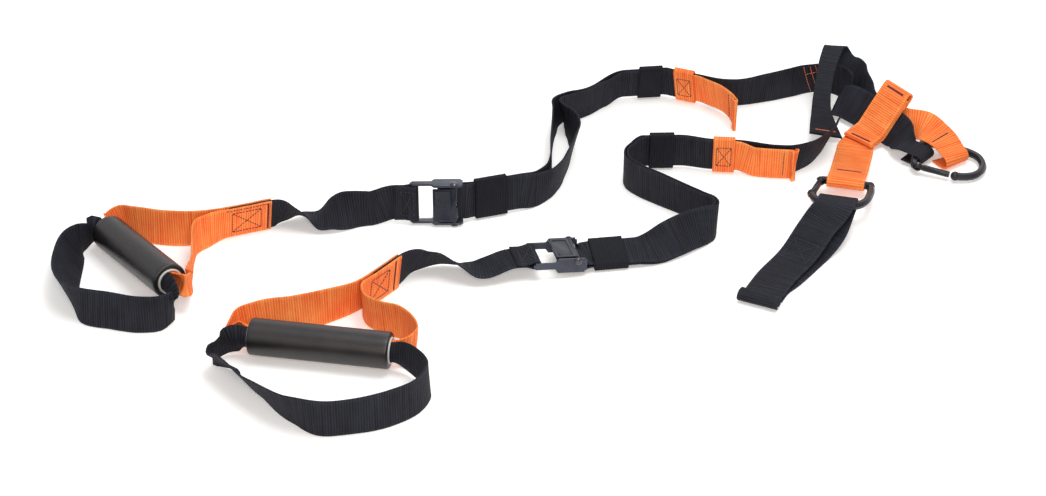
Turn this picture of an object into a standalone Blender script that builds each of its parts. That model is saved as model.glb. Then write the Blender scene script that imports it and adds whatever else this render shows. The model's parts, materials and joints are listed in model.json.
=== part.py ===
"""Suspension trainer, laid out on a flat surface.

Two handles with foam grips and foot cradles hang on adjustable webbing straps,
which meet in a sling knot. A folded anchor strap joins two carabiners to it, and
a padded door strap hangs on the second carabiner. Metres, +Z up, and the origin
is under the middle of the whole layout, on the surface that it lies on.
"""

from math import atan2, ceil, cos, pi, sin, sqrt

import bmesh
import bpy
import numpy as np
from mathutils import Matrix, Vector

# Webbing
webbing_width = 0.038
webbing_thickness = 0.0018
fit_gap = 0.0003
layer_gap = 0.0005
strap_step = 0.012

# Grips
grip_length = 0.130
foam_diameter = 0.034
foam_wall = 0.0042
foam_edge_radius = 0.0022
tube_wall = 0.0018
tube_overhang = 0.0012
web_curl_radius = 0.0094
web_curl_angle = 1.50
web_width_share = web_curl_angle * web_curl_radius / (webbing_width / 2)

# Cam buckles
buckle_length = 0.052
plate_thickness = 0.0022
plate_clearance = 0.0008
plate_corner_radius = 0.0020
arm_depth = 0.0064
body_depth = 0.0146
body_length = 0.028
end_bar_radius = 0.0026
end_bar_inset = 0.0042
base_bar_length = 0.020
base_bar_inset = 0.003
base_bar_thickness = 0.0025
front_layer_offset = 0.0007
pin_radius = 0.0015
pin_inset = 0.0085
rivet_radius = 0.0042
rivet_height = 0.0020
cam_radius = 0.0034
tooth_height = 0.0005
drum_facets = 24
lever_length = 0.0210
lever_thickness = 0.0022
lever_rim = 0.0024
lever_recess = 0.0008
cam_side_clearance = 0.0006
spring_wire_radius = 0.0003
spring_turns = 4
spring_pitch = 0.0010
spring_radius = 0.0022
spring_slot = 0.0052
spring_slot_depth = 0.0029

# Keepers, sliders and tabs
lower_keeper_length = 0.033
upper_keeper_length = 0.025
slider_length = 0.022
band_gap = 0.0005
band_corner_radius = 0.0007
sewn_loop_length = 0.022

# Carabiners
carabiner_depth = 0.070
bar_radius = 0.0040
knob_radius = 0.0048
gate_radius = 0.0032
gate_length = 0.0330
gate_barrel_start = 0.0054
tongue_thickness = 0.0030
tongue_radius = 0.0026
tongue_slot_depth = 0.0041
gate_pin_radius = 0.0011
captive_wire_radius = 0.0008
sling_bar_reach = (0.0058, 0.0115, 0.0010)
anchor_bar_reach = (0.0004, 0.0100)
door_bar_reach = (0.0080, 0.0105)
door_bar_place = 0.0635
eye_wire_level = 0.0480

# Door roll
roll_width = 0.040
roll_depth = 0.018
roll_thickness = 0.013
roll_corner_radius = 0.0045
mouth_out = 0.0100
mouth_lip = 0.0015
mouth_in = -0.0050
cheek_step = 0.003
end_loop_reaches = (0.004, 0.016)
captive_sag = 0.002
weld_distance = 0.00001

# Side of the square of floor that the layout's shares are counted in
layout_span = 1.0
layout_centre_shares = (0.01425, 0.0145)

half_web = webbing_width / 2
layer_pitch = webbing_thickness + layer_gap
free_layer_pitch = webbing_thickness + 2.4 * layer_gap
# Twisted webbing is split into triangles on this side, so that layers stay apart
split_side = Vector((0.31, 0.23, 0.92))
cut_overrun = 0.001

# Colours
black_webbing = (0.020, 0.021, 0.027)
orange_webbing = (0.80, 0.16, 0.035)
foam_grey = (0.055, 0.050, 0.050)
tube_white = (0.78, 0.78, 0.76)
buckle_grey = (0.075, 0.078, 0.095)
steel_grey = (0.42, 0.42, 0.44)
carabiner_black = (0.030, 0.031, 0.036)

# Places in the layout. A route's row is x, y and lift, then the direction of the
# webbing's width. A grip has its two ends, and hardware has its middle, the way
# it points and the direction of its width.
grip_shares = {
    "a": ((-0.401, -0.001, 0.019), (-0.328, -0.106, 0.030)),
    "b": ((-0.248, -0.182, 0.020), (-0.117, -0.206, 0.020)),
}
buckle_shares = {
    "a": ((-0.0850, 0.0460, 0.0244), (1.0, 0.02, 0.0), (0.0, 0.03, 1.0)),
    "b": ((0.0310, -0.0340, 0.0128), (0.975, 0.21, -0.08), (-0.22, 0.97, -0.06)),
}
lower_strap_shares = {
    "a": (
        (-0.286, 0.018, 0.000, 0.06, -0.25, 0.97),
        (-0.266, 0.026, 0.000, 0.08, -0.25, 0.96),
        (-0.247, 0.0335, 0.000, 0.08, -0.25, 0.96),
        (-0.240, 0.036, 0.000, 0.09, -0.30, 0.94),
        (-0.230, 0.0385, 0.000, 0.11, -0.60, 0.80),
        (-0.218, 0.041, 0.002, 0.08, -0.85, 0.53),
        (-0.202, 0.043, 0.004, 0.02, -0.99, 0.05),
        (-0.186, 0.043, 0.002, -0.10, -0.80, -0.55),
        (-0.168, 0.042, 0.000, -0.10, -0.30, -0.95),
        (-0.150, 0.043, 0.000, 0.00, -0.06, -1.00),
    ),
    "b": (
        (-0.1400, -0.1010, 0.000, 0.03, -0.20, 0.98),
        (-0.1290, -0.0860, 0.000, 0.03, -0.20, 0.98),
        (-0.1180, -0.0710, 0.000, 0.03, -0.20, 0.98),
        (-0.1120, -0.0630, 0.000, 0.05, -0.26, 0.96),
        (-0.0980, -0.0500, 0.000, 0.10, -0.52, 0.85),
        (-0.0780, -0.0450, 0.002, 0.10, -0.70, 0.71),
        (-0.0600, -0.0500, 0.004, 0.12, -0.88, 0.45),
        (-0.0450, -0.0520, 0.006, 0.14, -0.98, 0.12),
    ),
}
handle_front_shares = {
    "a": (
        (-0.304, 0.002, 0.000, 0.02, -0.02, 1.00),
        (-0.315, -0.010, 0.000, 0.01, 0.05, 1.00),
        (-0.3165, -0.026, 0.000, 0.01, 0.10, 0.99),
        (-0.3145, -0.050, 0.001, 0.05, 0.05, 0.99),
        (-0.3125, -0.075, 0.004, 0.05, 0.05, 0.98),
        (-0.3120, -0.094, 0.012, -0.20, -0.25, 0.92),
    ),
    "b": (
        (-0.1480, -0.1180, 0.000, 0.00, -0.20, 0.98),
        (-0.1450, -0.1360, 0.000, 0.00, -0.18, 0.98),
        (-0.1300, -0.1500, 0.000, 0.00, -0.10, 0.99),
        (-0.1120, -0.1600, 0.001, 0.00, -0.05, 0.99),
        (-0.0990, -0.1750, 0.003, 0.02, -0.05, 0.98),
        (-0.0965, -0.1900, 0.007, 0.10, 0.05, 0.97),
    ),
}
handle_back_shares = {
    "a": (
        (-0.406, 0.020, 0.002, 0.30, 0.30, 0.85),
        (-0.395, 0.024, 0.000, 0.10, -0.05, 0.97),
        (-0.375, 0.014, 0.000, 0.00, 0.05, 1.00),
        (-0.350, 0.007, 0.000, 0.00, 0.10, 0.99),
        (-0.320, 0.006, 0.000, 0.05, 0.05, 1.00),
    ),
    "b": (
        (-0.2680, -0.1780, 0.004, -0.10, -0.20, 0.95),
        (-0.2620, -0.1600, 0.001, 0.05, 0.10, 0.98),
        (-0.2400, -0.1540, 0.000, 0.05, 0.25, 0.97),
        (-0.2100, -0.1450, 0.000, 0.02, 0.15, 0.98),
        (-0.1800, -0.1310, 0.000, 0.02, 0.00, 1.00),
        (-0.1560, -0.1160, 0.000, 0.03, -0.15, 0.98),
    ),
}
cradle_shares = {
    "a": (
        (-0.421, -0.003, 0.002, -0.10, -0.45, 0.85),
        (-0.431, -0.025, 0.000, -0.50, -0.35, 0.80),
        (-0.433, -0.052, 0.000, -0.58, -0.35, 0.72),
        (-0.430, -0.085, 0.000, -0.45, -0.45, 0.76),
        (-0.423, -0.112, 0.000, -0.28, -0.15, 0.94),
        (-0.410, -0.129, 0.000, -0.10, 0.10, 0.98),
        (-0.380, -0.139, 0.000, 0.02, 0.15, 0.98),
        (-0.350, -0.146, 0.000, 0.00, 0.08, 1.00),
        (-0.334, -0.144, 0.000, 0.00, 0.00, 1.00),
        (-0.323, -0.133, 0.000, 0.08, -0.15, 0.97),
    ),
    "b": (
        (-0.2700, -0.1890, 0.002, -0.10, -0.35, 0.92),
        (-0.2790, -0.2010, 0.000, -0.05, -0.40, 0.92),
        (-0.2660, -0.2200, 0.000, 0.05, -0.50, 0.86),
        (-0.2390, -0.2560, 0.000, 0.20, -0.60, 0.78),
        (-0.2030, -0.2960, 0.000, 0.20, -0.35, 0.92),
        (-0.1760, -0.3080, 0.000, 0.15, -0.06, 0.98),
        (-0.1480, -0.3050, 0.000, 0.04, -0.02, 1.00),
        (-0.1140, -0.2920, 0.000, 0.03, 0.05, 1.00),
        (-0.0920, -0.2740, 0.000, -0.05, -0.05, 0.99),
        (-0.0830, -0.2500, 0.000, -0.05, -0.05, 0.99),
    ),
}
keeper_shares = {
    "a_lower": ((-0.0480, 0.0545, 0.0015), (-0.0050, 0.0700, 0.0010), (-0.03, 0.03, 1.0)),
    "a_upper": ((0.1090, 0.2960, 0.0010), (0.1500, 0.3010, 0.0010), (0.00, -0.30, 0.95)),
    "b_lower": ((0.0650, -0.0245, 0.0010), (0.1100, -0.0175, 0.0010), (-0.22, 0.96, 0.12)),
    "b_upper": ((0.1240, 0.1510, 0.0010), (0.1580, 0.1520, 0.0010), (0.00, -0.16, 0.99)),
}
slider_shares = {
    "a": ((0.1630, 0.2960, 0.0010), (0.1850, 0.2865, 0.0010), (0.00, -0.30, 0.95)),
    "b": ((0.1930, 0.1440, 0.0010), (0.2160, 0.1420, 0.0010), (-0.02, -0.18, 0.98)),
}
tail_shares = {
    "a": (
        (0.0140, 0.0790, 0.000, 0.00, 0.00, 1.00),
        (0.0270, 0.0900, 0.000, 0.00, -0.20, 0.98),
        (0.0370, 0.1080, 0.000, 0.02, -0.35, 0.94),
        (0.0440, 0.1320, 0.000, 0.08, -0.35, 0.94),
        (0.0510, 0.1640, 0.000, 0.14, -0.30, 0.94),
        (0.0540, 0.1880, 0.000, 0.25, -0.20, 0.94),
        (0.0500, 0.2090, 0.000, 0.20, -0.15, 0.96),
        (0.0430, 0.2250, 0.000, -0.05, -0.20, 0.97),
        (0.0420, 0.2370, 0.000, -0.20, -0.28, 0.93),
        (0.0520, 0.2480, 0.000, -0.15, -0.30, 0.94),
        (0.0680, 0.2600, 0.000, -0.08, -0.30, 0.94),
        (0.0880, 0.2800, 0.000, -0.02, -0.30, 0.95),
    ),
    "b": (
        (0.1260, -0.0140, 0.000, -0.22, 0.90, 0.34),
        (0.1440, -0.0060, 0.000, -0.20, 0.75, 0.62),
        (0.1640, 0.0040, 0.000, -0.10, 0.50, 0.85),
        (0.1790, 0.0110, 0.000, 0.00, 0.25, 0.96),
        (0.1870, 0.0170, 0.000, 0.05, 0.10, 0.99),
        (0.1895, 0.0260, 0.000, 0.04, -0.05, 0.99),
        (0.1870, 0.0360, 0.000, 0.04, -0.20, 0.97),
        (0.1760, 0.0480, 0.000, 0.04, -0.25, 0.96),
        (0.1560, 0.0650, 0.000, 0.06, -0.20, 0.97),
        (0.1350, 0.0830, 0.000, 0.08, -0.15, 0.98),
        (0.1170, 0.0990, 0.000, 0.05, -0.15, 0.98),
        (0.1070, 0.1130, 0.000, 0.00, -0.12, 0.99),
        (0.1055, 0.1270, 0.000, 0.00, -0.12, 0.99),
        (0.1110, 0.1400, 0.000, 0.00, -0.15, 0.99),
    ),
}
main_branch_shares = {
    "a": (
        (0.0130, 0.0830, 0.000, 0.00, 0.03, 1.00),
        (0.0230, 0.0950, 0.000, 0.00, 0.05, 1.00),
        (0.0275, 0.1150, 0.000, 0.00, 0.00, 1.00),
        (0.0285, 0.1500, 0.000, 0.00, 0.00, 1.00),
        (0.0300, 0.1900, 0.000, 0.02, 0.00, 1.00),
        (0.0320, 0.2180, 0.000, -0.05, -0.10, 0.99),
        (0.0345, 0.2375, 0.000, -0.18, -0.25, 0.94),
        (0.0480, 0.2530, 0.000, -0.15, -0.30, 0.94),
        (0.0660, 0.2630, 0.000, -0.08, -0.30, 0.94),
    ),
    "b": (),
}
main_end_shares = {
    "a": (
        (0.2070, 0.2830, 0.001, 0.02, -0.25, 0.96),
        (0.2290, 0.2830, 0.000, 0.03, -0.25, 0.96),
        (0.2600, 0.2930, 0.000, -0.10, -0.20, 0.97),
        (0.2850, 0.3030, 0.001, -0.20, -0.20, 0.95),
        (0.3060, 0.3120, 0.001, -0.20, -0.20, 0.95),
        (0.3220, 0.3140, 0.001, -0.05, -0.15, 0.98),
        (0.3377, 0.3087, 0.001, 0.05, -0.05, 1.00),
        (0.3460, 0.2960, 0.001, 0.05, 0.00, 1.00),
        (0.3495, 0.2840, 0.001, 0.06, 0.00, 1.00),
    ),
    "b": (
        (0.2560, 0.1400, 0.000, -0.05, -0.18, 0.98),
        (0.2740, 0.1410, 0.000, -0.08, -0.25, 0.96),
        (0.2910, 0.1510, 0.000, -0.06, -0.42, 0.91),
        (0.3080, 0.1720, 0.001, 0.00, -0.60, 0.80),
        (0.3178, 0.1925, 0.001, 0.15, -0.62, 0.74),
        (0.3200, 0.2035, 0.002, 0.25, -0.64, 0.70),
    ),
}
sling_dive_shares = (
    (0.3330, 0.2715, 0.0150, 0.66, 0.48, 0.55),
    (0.3420, 0.2640, 0.0185, 0.56, 0.42, 0.70),
    (0.3505, 0.2515, 0.0200, 0.53, 0.36, 0.76),
)
sling_end_shares = (
    (0.3900, 0.1895, 0.0178, 0.55, 0.48, 0.68, 0.90),
    (0.3908, 0.1820, 0.0166, 0.58, 0.62, 0.50, 0.76),
)
sling_bar_share = 0.72
sling_heading_shares = (0.788, -0.616, 0.0)
bight_shares = (
    (0.3606, 0.2505, 0.0203, 0.51, 0.35, 0.78),
    (0.3620, 0.2660, 0.0235, 0.36, 0.26, 0.89),
    (0.3615, 0.2850, 0.0260, 0.15, 0.15, 0.97),
    (0.3585, 0.3010, 0.0275, 0.40, 0.10, 0.90, 0.90),
    (0.3510, 0.3140, 0.0300, 0.78, 0.05, 0.60, 0.85),
    (0.3450, 0.3240, 0.0325, 0.98, -0.10, 0.15, 0.85),
    (0.3410, 0.3320, 0.0370, 0.98, -0.12, 0.00, 0.85),
    (0.3380, 0.3345, 0.0440, 0.98, -0.12, 0.00, 0.85),
    (0.3350, 0.3290, 0.0500, 0.98, -0.12, 0.00, 0.85),
    (0.3280, 0.3090, 0.0490, 0.97, -0.12, 0.00, 0.80),
    (0.3220, 0.2880, 0.0440, 0.97, -0.15, 0.00, 0.72),
    (0.3175, 0.2680, 0.0370, 0.97, -0.10, 0.00, 0.66),
    (0.3140, 0.2500, 0.0290, 0.96, 0.15, 0.00, 0.66),
    (0.3128, 0.2360, 0.0225, 0.85, 0.45, 0.00, 0.72),
    (0.3135, 0.2220, 0.0160, 0.74, 0.66, 0.00, 0.88),
    (0.3150, 0.2053, 0.0094, 0.70, 0.71, 0.00, 1.00),
)
bundle_shares = ((0.3630, 0.2357, 0.0193), (0.3847, 0.2027, 0.0187), (0.55, -0.835, 0.00), (0.50, 0.32, 0.74))
pack_shares = (0.3740, 0.2190, 0.0190)
pack_levels = (0.024, 0.036, 0.030, 0.006, -0.012)
pack_foot_shares = (
    (0.3560, 0.2070, 0.0062, 0.56, -0.83, 0.00),
    (0.3490, 0.2010, 0.0040, 0.60, -0.80, 0.00),
)
anchor_lead_shares = (
    (0.3420, 0.1800, 0.0024, 0.80, -0.60, 0.00),
    (0.3370, 0.1580, 0.0060, 0.90, -0.42, 0.00),
)
anchor_loop_shares = (
    (0.3980, 0.2080, 0.0030, 0.45, 0.30, 0.82),
)
anchor_over_shares = (
    (0.4135, 0.1985, 0.0250, 0.62, 0.42, 0.55, 0.90),
    (0.4250, 0.1860, 0.0235, 0.72, 0.58, 0.30, 0.85),
    (0.4335, 0.1745, 0.0205, 0.76, 0.62, 0.18, 0.82),
    (0.4400, 0.1635, 0.0150, 0.80, 0.60, 0.02, 0.82),
    (0.4435, 0.1570, 0.0125, 0.80, 0.60, 0.00, 0.82),
    (0.4447, 0.1548, 0.0080, 0.80, 0.60, 0.00, 0.82),
    (0.4435, 0.1570, 0.0035, 0.80, 0.60, 0.00, 0.82),
    (0.4395, 0.1640, 0.0016, 0.80, 0.60, 0.00, 0.82),
    (0.4345, 0.1735, 0.0014, 0.80, 0.60, 0.00, 0.82),
)
door_strap_shares = (
    (0.2259, -0.0899, 0.0045, 0.895, -0.445, 0.00),
    (0.2400, -0.0612, 0.0040, 0.89, -0.46, 0.00),
    (0.2660, -0.0210, 0.0060, 0.87, -0.49, 0.00),
    (0.2870, 0.0090, 0.0200, 0.92, -0.38, 0.00),
)
door_return_shares = (
    (0.2950, 0.0080, 0.0110, 0.93, -0.36, 0.00),
    (0.2790, -0.0120, 0.0015, 0.88, -0.47, 0.00),
    (0.2480, -0.0560, 0.0000, 0.88, -0.48, 0.00),
    (0.2335, -0.0745, 0.0005, 0.895, -0.445, 0.00),
    (0.2259, -0.0899, 0.0008, 0.895, -0.445, 0.00),
)
roll_shares = ((0.2215, -0.0985, 0.0000), (0.44, 0.90, 0.00), (0.90, -0.44, 0.00))
# Places inside a carabiner, across it and along it
carabiner_path_shares = (
    (0.0250, 0.0045), (0.0235, 0.0005), (0.0200, 0.0000), (-0.0200, 0.0000), (-0.0235, 0.0005),
    (-0.0252, 0.0040), (-0.0268, 0.0120), (-0.0272, 0.0300), (-0.0258, 0.0460), (-0.0195, 0.0590),
    (-0.0070, 0.0660), (0.0080, 0.0660), (0.0200, 0.0600), (0.0262, 0.0500), (0.0278, 0.0435),
)
carabiner_knob_shares = ((0.0250, 0.0045), (0.0278, 0.0435), (-0.0246, 0.0015))
pull_tab_shares = {
    "a": (
        (0.1970, 0.2760, 0.004, 0.00, -0.35, 0.93),
        (0.2110, 0.2620, 0.004, 0.00, -0.38, 0.92),
        (0.2200, 0.2460, 0.002, 0.03, -0.38, 0.92),
        (0.2230, 0.2330, 0.001, 0.05, -0.38, 0.92),
    ),
    "b": (
        (0.2350, 0.1345, 0.000, -0.04, -0.18, 0.98),
        (0.2560, 0.1310, 0.000, -0.05, -0.18, 0.98),
        (0.2740, 0.1300, 0.000, -0.08, -0.20, 0.97),
    ),
}
carabiner_shares = {
    "1": ((0.4055, 0.1665, 0.0100), (0.946, -0.316, -0.070), (0.0, 0.0, 1.0)),
    "2": ((0.3240, 0.1010, 0.0140), (-0.255, -0.951, 0.174), (0.0, 0.0, 1.0)),
}


def place(x_share, y_share, lift_share):
    """A place in the layout, counted from the middle of the layout."""
    x = (x_share - layout_centre_shares[0]) * layout_span
    y = (y_share - layout_centre_shares[1]) * layout_span
    return Vector((x, y, lift_share * layout_span))


def stop(middle, across, curl=0.0, share=1.0, rigid=0.0):
    """One stop of a route: middle, width's direction, curl, share of width, and if it is straight."""
    return [*middle, *across, curl, share, rigid]


def free(rows, layers_below=0):
    """Stops of the webbing where it lies free: each rests on its lower edge, lifted by its lift."""
    stops = []
    for row in rows:
        across = Vector(row[3:6]).normalized()
        level = sqrt(max(0.0, 1 - across.z ** 2))
        middle = place(*row[:3])
        middle.z += abs(across.z) * half_web
        middle.z += level * (webbing_thickness / 2 + layers_below * layer_pitch)
        stops.append(stop(middle, across))
    return stops


def aloft(rows):
    """Stops whose lift is the height of the webbing's own middle."""
    return [
        stop(place(*row[:3]), Vector(row[3:6]).normalized(), share=row[6] if len(row) > 6 else 1.0)
        for row in rows
    ]


def linked(rows):
    """For each piece between two stops, if it is straight: both ends carry the same mark above zero."""
    marks = rows[:, 8]
    return (marks[:-1] > 0.5) & (abs(marks[1:] - marks[:-1]) < 0.5)


def smooth(stops, step=strap_step):
    """Stops joined by a smooth curve, cut so that no piece is longer than the step."""
    rows = np.array(stops, dtype=float)
    gaps = np.linalg.norm(np.diff(rows[:, :3], axis=0), axis=1)
    slopes = np.diff(rows, axis=0) / gaps[:, None]
    straight = linked(rows)
    tangents = np.empty_like(rows)
    last = len(rows) - 1
    for i in range(len(rows)):
        if i > 0 and straight[i - 1]:
            tangents[i] = slopes[i - 1]
        elif i < last and straight[i]:
            tangents[i] = slopes[i]
        elif i == 0:
            tangents[i] = slopes[0]
        elif i == last:
            tangents[i] = slopes[-1]
        else:
            tangents[i] = (slopes[i - 1] * gaps[i] + slopes[i] * gaps[i - 1]) / (gaps[i - 1] + gaps[i])
    result = [rows[0]]
    for i in range(last):
        count = 1 if straight[i] else max(1, ceil(gaps[i] / step))
        for k in range(1, count + 1):
            f = k / count
            start = (2 * f ** 3 - 3 * f ** 2 + 1) * rows[i] + (f ** 3 - 2 * f ** 2 + f) * gaps[i] * tangents[i]
            end = (3 * f ** 2 - 2 * f ** 3) * rows[i + 1] + (f ** 3 - f ** 2) * gaps[i] * tangents[i + 1]
            result.append(start + end)
            result[-1][8] = 0.0
        result[-1] = rows[i + 1]
    return np.array(result)


def frames(stops, closed=False):
    """At each stop: the width's direction squared to the route, and the face's direction."""
    points = stops[:, :3]
    if closed:
        ahead = np.roll(points[:-1], -1, axis=0) - np.roll(points[:-1], 1, axis=0)
        ahead = np.vstack((ahead, ahead[:1]))
    else:
        steps = np.diff(points, axis=0)
        steps /= np.linalg.norm(steps, axis=1)[:, None]
        ahead = np.vstack((steps[:1], steps[:-1] + steps[1:], steps[-1:]))
        straight = linked(stops)
        for i in range(1, len(stops) - 1):
            if straight[i - 1] != straight[i]:
                ahead[i] = steps[i - 1] if straight[i - 1] else steps[i]
    ahead /= np.linalg.norm(ahead, axis=1)[:, None]
    across = stops[:, 3:6] - (stops[:, 3:6] * ahead).sum(axis=1)[:, None] * ahead
    across /= np.linalg.norm(across, axis=1)[:, None]
    return across, np.cross(across, ahead)


def settled(stops):
    """The same route, lifted wherever its lower edge would go into the floor."""
    across, face = frames(stops)
    low = stops[:, 2] - abs(across[:, 2]) * half_web * stops[:, 7] - abs(face[:, 2]) * webbing_thickness / 2
    result = stops.copy()
    result[:, 2] += np.maximum(0.0, fit_gap / 3 - low)
    return result


def marked(stops):
    """The same stops, to be joined by straight pieces."""
    result = stops.copy()
    result[:, 8] = 1.0
    return result


def shifted(stops, distance):
    """The same route moved off along its face, for a second layer of webbing."""
    across, face = frames(stops)
    steps = np.diff(stops[:, :3], axis=0)
    steps /= np.linalg.norm(steps, axis=1)[:, None]
    mitre = np.ones(len(stops))
    mitre[1:-1] = np.sqrt((1 + (steps[:-1] * steps[1:]).sum(axis=1)) / 2)
    moved = stops.copy()
    moved[:, :3] += face * (distance / np.maximum(mitre, 0.6))[:, None]
    moved[:, 3:6] = across
    moved[:, 8] = 1.0
    return moved


def joined(*routes):
    """Routes one after the other."""
    return np.vstack([np.array(route, dtype=float) for route in routes if len(route)])


def material(name, colour, roughness, metallic):
    made = bpy.data.materials.new(name)
    made.use_nodes = True
    shader = made.node_tree.nodes["Principled BSDF"]
    shader.inputs["Base Color"].default_value = (*colour, 1.0)
    shader.inputs["Roughness"].default_value = roughness
    shader.inputs["Metallic"].default_value = metallic
    return made


def finish(name, bm, colour, roughness=0.8, metallic=0.0, at=None):
    """A node from a finished mesh, with its origin at the given place."""
    if at is not None:
        bmesh.ops.translate(bm, verts=bm.verts, vec=-at)
    mesh = bpy.data.meshes.new(name)
    bm.to_mesh(mesh)
    bm.free()
    made = bpy.data.objects.new(name, mesh)
    if at is not None:
        made.location = at
    parts.objects.link(made)
    mesh.materials.append(material(name, colour, roughness, metallic))
    return made


def cutter(name, bm, frame):
    """A solid that is only joined to another or cut from it."""
    mesh = bpy.data.meshes.new(name)
    bm.to_mesh(mesh)
    bm.free()
    made = bpy.data.objects.new(name, mesh)
    made.matrix_world = frame
    cutters.objects.link(made)
    made.hide_render = True
    made.display_type = "WIRE"
    return made


def combine(target, other, operation):
    change = target.modifiers.new(operation.title(), "BOOLEAN")
    change.operation = operation
    change.solver = "EXACT"
    change.object = other


def axes_frame(middle, x_axis, y_axis, z_axis):
    turn = Matrix((x_axis, y_axis, z_axis)).transposed().to_4x4()
    return Matrix.Translation(middle) @ turn


def ribbon(name, stops, colour, cells=1, closed=False, at=None, layered=False):
    """A length of webbing: a grid bent along its route and thickened by Solidify."""
    across, face = frames(stops, closed)
    if not closed:
        stops = settled(stops)
    bm = bmesh.new()
    bmesh.ops.create_grid(bm, x_segments=cells, y_segments=len(stops) - 1, size=0.5)
    for vert in bm.verts:
        side = 2 * vert.co.x
        i = round((vert.co.y + 0.5) * (len(stops) - 1))
        width = half_web * stops[i, 7]
        curl = stops[i, 6]
        if abs(curl) > 0.01:
            radius = width / curl
            out = radius * sin(side * curl)
            lift = radius * (1 - cos(side * curl))
        else:
            out = side * width
            lift = 0.0
        vert.co = Vector(stops[i, :3] + across[i] * out + face[i] * lift)
    if closed:
        bmesh.ops.remove_doubles(bm, verts=bm.verts, dist=weld_distance)
    for quad in list(bm.faces) if layered else ():
        first, second, third, fourth = quad.verts
        one = (first.co + third.co).dot(split_side)
        other = (second.co + fourth.co).dot(split_side)
        pair = (first, third) if one > other else (second, fourth)
        bmesh.utils.face_split(quad, *pair)
    made = finish(name, bm, colour, at=at)
    shell = made.modifiers.new("Webbing", "SOLIDIFY")
    shell.thickness = webbing_thickness
    shell.offset = 0.0
    shell.use_even_offset = True
    return made


def wire(name, points, radius, colour, resolution=1, smooth_steps=1, roughness=0.3, metallic=1.0, target=None):
    """A round bar or wire along a line of places, with filled ends."""
    curve = bpy.data.curves.new(name, "CURVE")
    curve.dimensions = "3D"
    curve.bevel_depth = radius
    curve.bevel_resolution = resolution
    curve.use_fill_caps = True
    line = curve.splines.new("POLY")
    line.points.add(len(points) - 1)
    for spot, point in zip(line.points, points):
        spot.co = (*point, 1.0)
    made = bpy.data.objects.new(name, curve)
    (target or parts).objects.link(made)
    curve.materials.append(material(name, colour, roughness, metallic))
    return made


def cylinder(radius, low, high, sides=16, axis="Z", middle=(0.0, 0.0)):
    """A round bar between two heights along one axis."""
    bm = bmesh.new()
    bmesh.ops.create_cone(
        bm, cap_ends=True, segments=sides, radius1=radius, radius2=radius, depth=high - low
    )
    bmesh.ops.translate(bm, verts=bm.verts, vec=(middle[0], middle[1], (low + high) / 2))
    if axis == "Y":
        bmesh.ops.transform(bm, verts=bm.verts, matrix=Matrix.Rotation(-pi / 2, 4, "X"))
    if axis == "X":
        bmesh.ops.transform(bm, verts=bm.verts, matrix=Matrix.Rotation(pi / 2, 4, "Y"))
    return bm


def block(low, high, bevel=0.0, along=2, segments=2):
    """A box between two corners; the edges along one axis can be rounded."""
    bm = bmesh.new()
    bmesh.ops.create_cube(bm, size=1.0)
    size = [high[k] - low[k] for k in range(3)]
    middle = [(high[k] + low[k]) / 2 for k in range(3)]
    bmesh.ops.scale(bm, verts=bm.verts, vec=size)
    bmesh.ops.translate(bm, verts=bm.verts, vec=middle)
    if bevel:
        edges = [
            edge for edge in bm.edges
            if abs((edge.verts[0].co - edge.verts[1].co)[along]) > size[along] / 2
        ]
        bmesh.ops.bevel(bm, geom=edges, offset=bevel, segments=segments, profile=0.5, affect="EDGES")
    return bm


def turned(name, profile, frame, colour, steps, roughness=0.6, metallic=0.0, closed=False):
    """A body of revolution about its own Z axis, from a profile of radius and height."""
    bm = bmesh.new()
    spots = [bm.verts.new((radius, 0.0, height)) for radius, height in profile]
    for first, second in zip(spots, spots[1:]):
        bm.edges.new((first, second))
    if closed:
        bm.edges.new((spots[-1], spots[0]))
    made = finish(name, bm, colour, roughness, metallic)
    made.matrix_world = frame
    spin = made.modifiers.new("Turn", "SCREW")
    spin.steps = steps
    spin.render_steps = steps
    spin.use_merge_vertices = True
    spin.merge_threshold = weld_distance
    return made


def buckle_axes(side):
    """A buckle's middle, the way along it, the direction of its face, and of its width."""
    middle, along, across = buckle_shares[side]
    along = Vector(along).normalized()
    across = Vector(across)
    across = (across - along * across.dot(along)).normalized()
    return place(*middle), along, across.cross(along), across


def in_buckle(side, along_places, flip=1.0, rigid=1.0):
    """Straight stops from places in a buckle, each along it and off its middle."""
    middle, along, face, across = buckle_axes(side)
    return [
        stop(middle + along * spot[0] + face * spot[1], across * flip, rigid=rigid)
        for spot in along_places
    ]


def arc(middle, radius, start, end, count):
    """Places on an arc, given by angles in turns from the first axis to the second."""
    places = []
    for k in range(count + 1):
        angle = 2 * pi * (start + (end - start) * k / count)
        places.append((middle[0] + radius * cos(angle), middle[1] + radius * sin(angle)))
    return places


buckle_half = buckle_length / 2
base_bar_start = buckle_half - base_bar_inset - base_bar_length
turn_radius = base_bar_thickness / 2 + fit_gap + webbing_thickness / 2
base_bar_offset = front_layer_offset + turn_radius
turn_place = base_bar_start + base_bar_thickness / 2
end_bar_place = end_bar_inset - buckle_half
end_loop_radius = end_bar_radius + fit_gap + webbing_thickness / 2
plate_inner = half_web + plate_clearance
plate_outer = plate_inner + plate_thickness
pin_place = buckle_half - pin_inset
pin_offset = front_layer_offset - webbing_thickness / 2 - 0.2 * layer_gap * 2 - cam_radius - tooth_height


def band_stretch(table, key, offset, half):
    """The straight stretch of two layers under a band: its ends, and its three directions."""
    start, end, across = table[key]
    low = place(*start)
    high = place(*end)
    across = Vector(across).normalized()
    level = sqrt(max(0.0, 1 - across.z ** 2))
    rise = abs(across.z) * (half_web + band_gap + webbing_thickness)
    rise += level * (layer_pitch / 2 + webbing_thickness * 1.5 + band_gap)
    low.z += rise
    high.z += rise
    along = (high - low).normalized()
    across = (across - along * across.dot(along)).normalized()
    return low, high, along, across.cross(along), across


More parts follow.
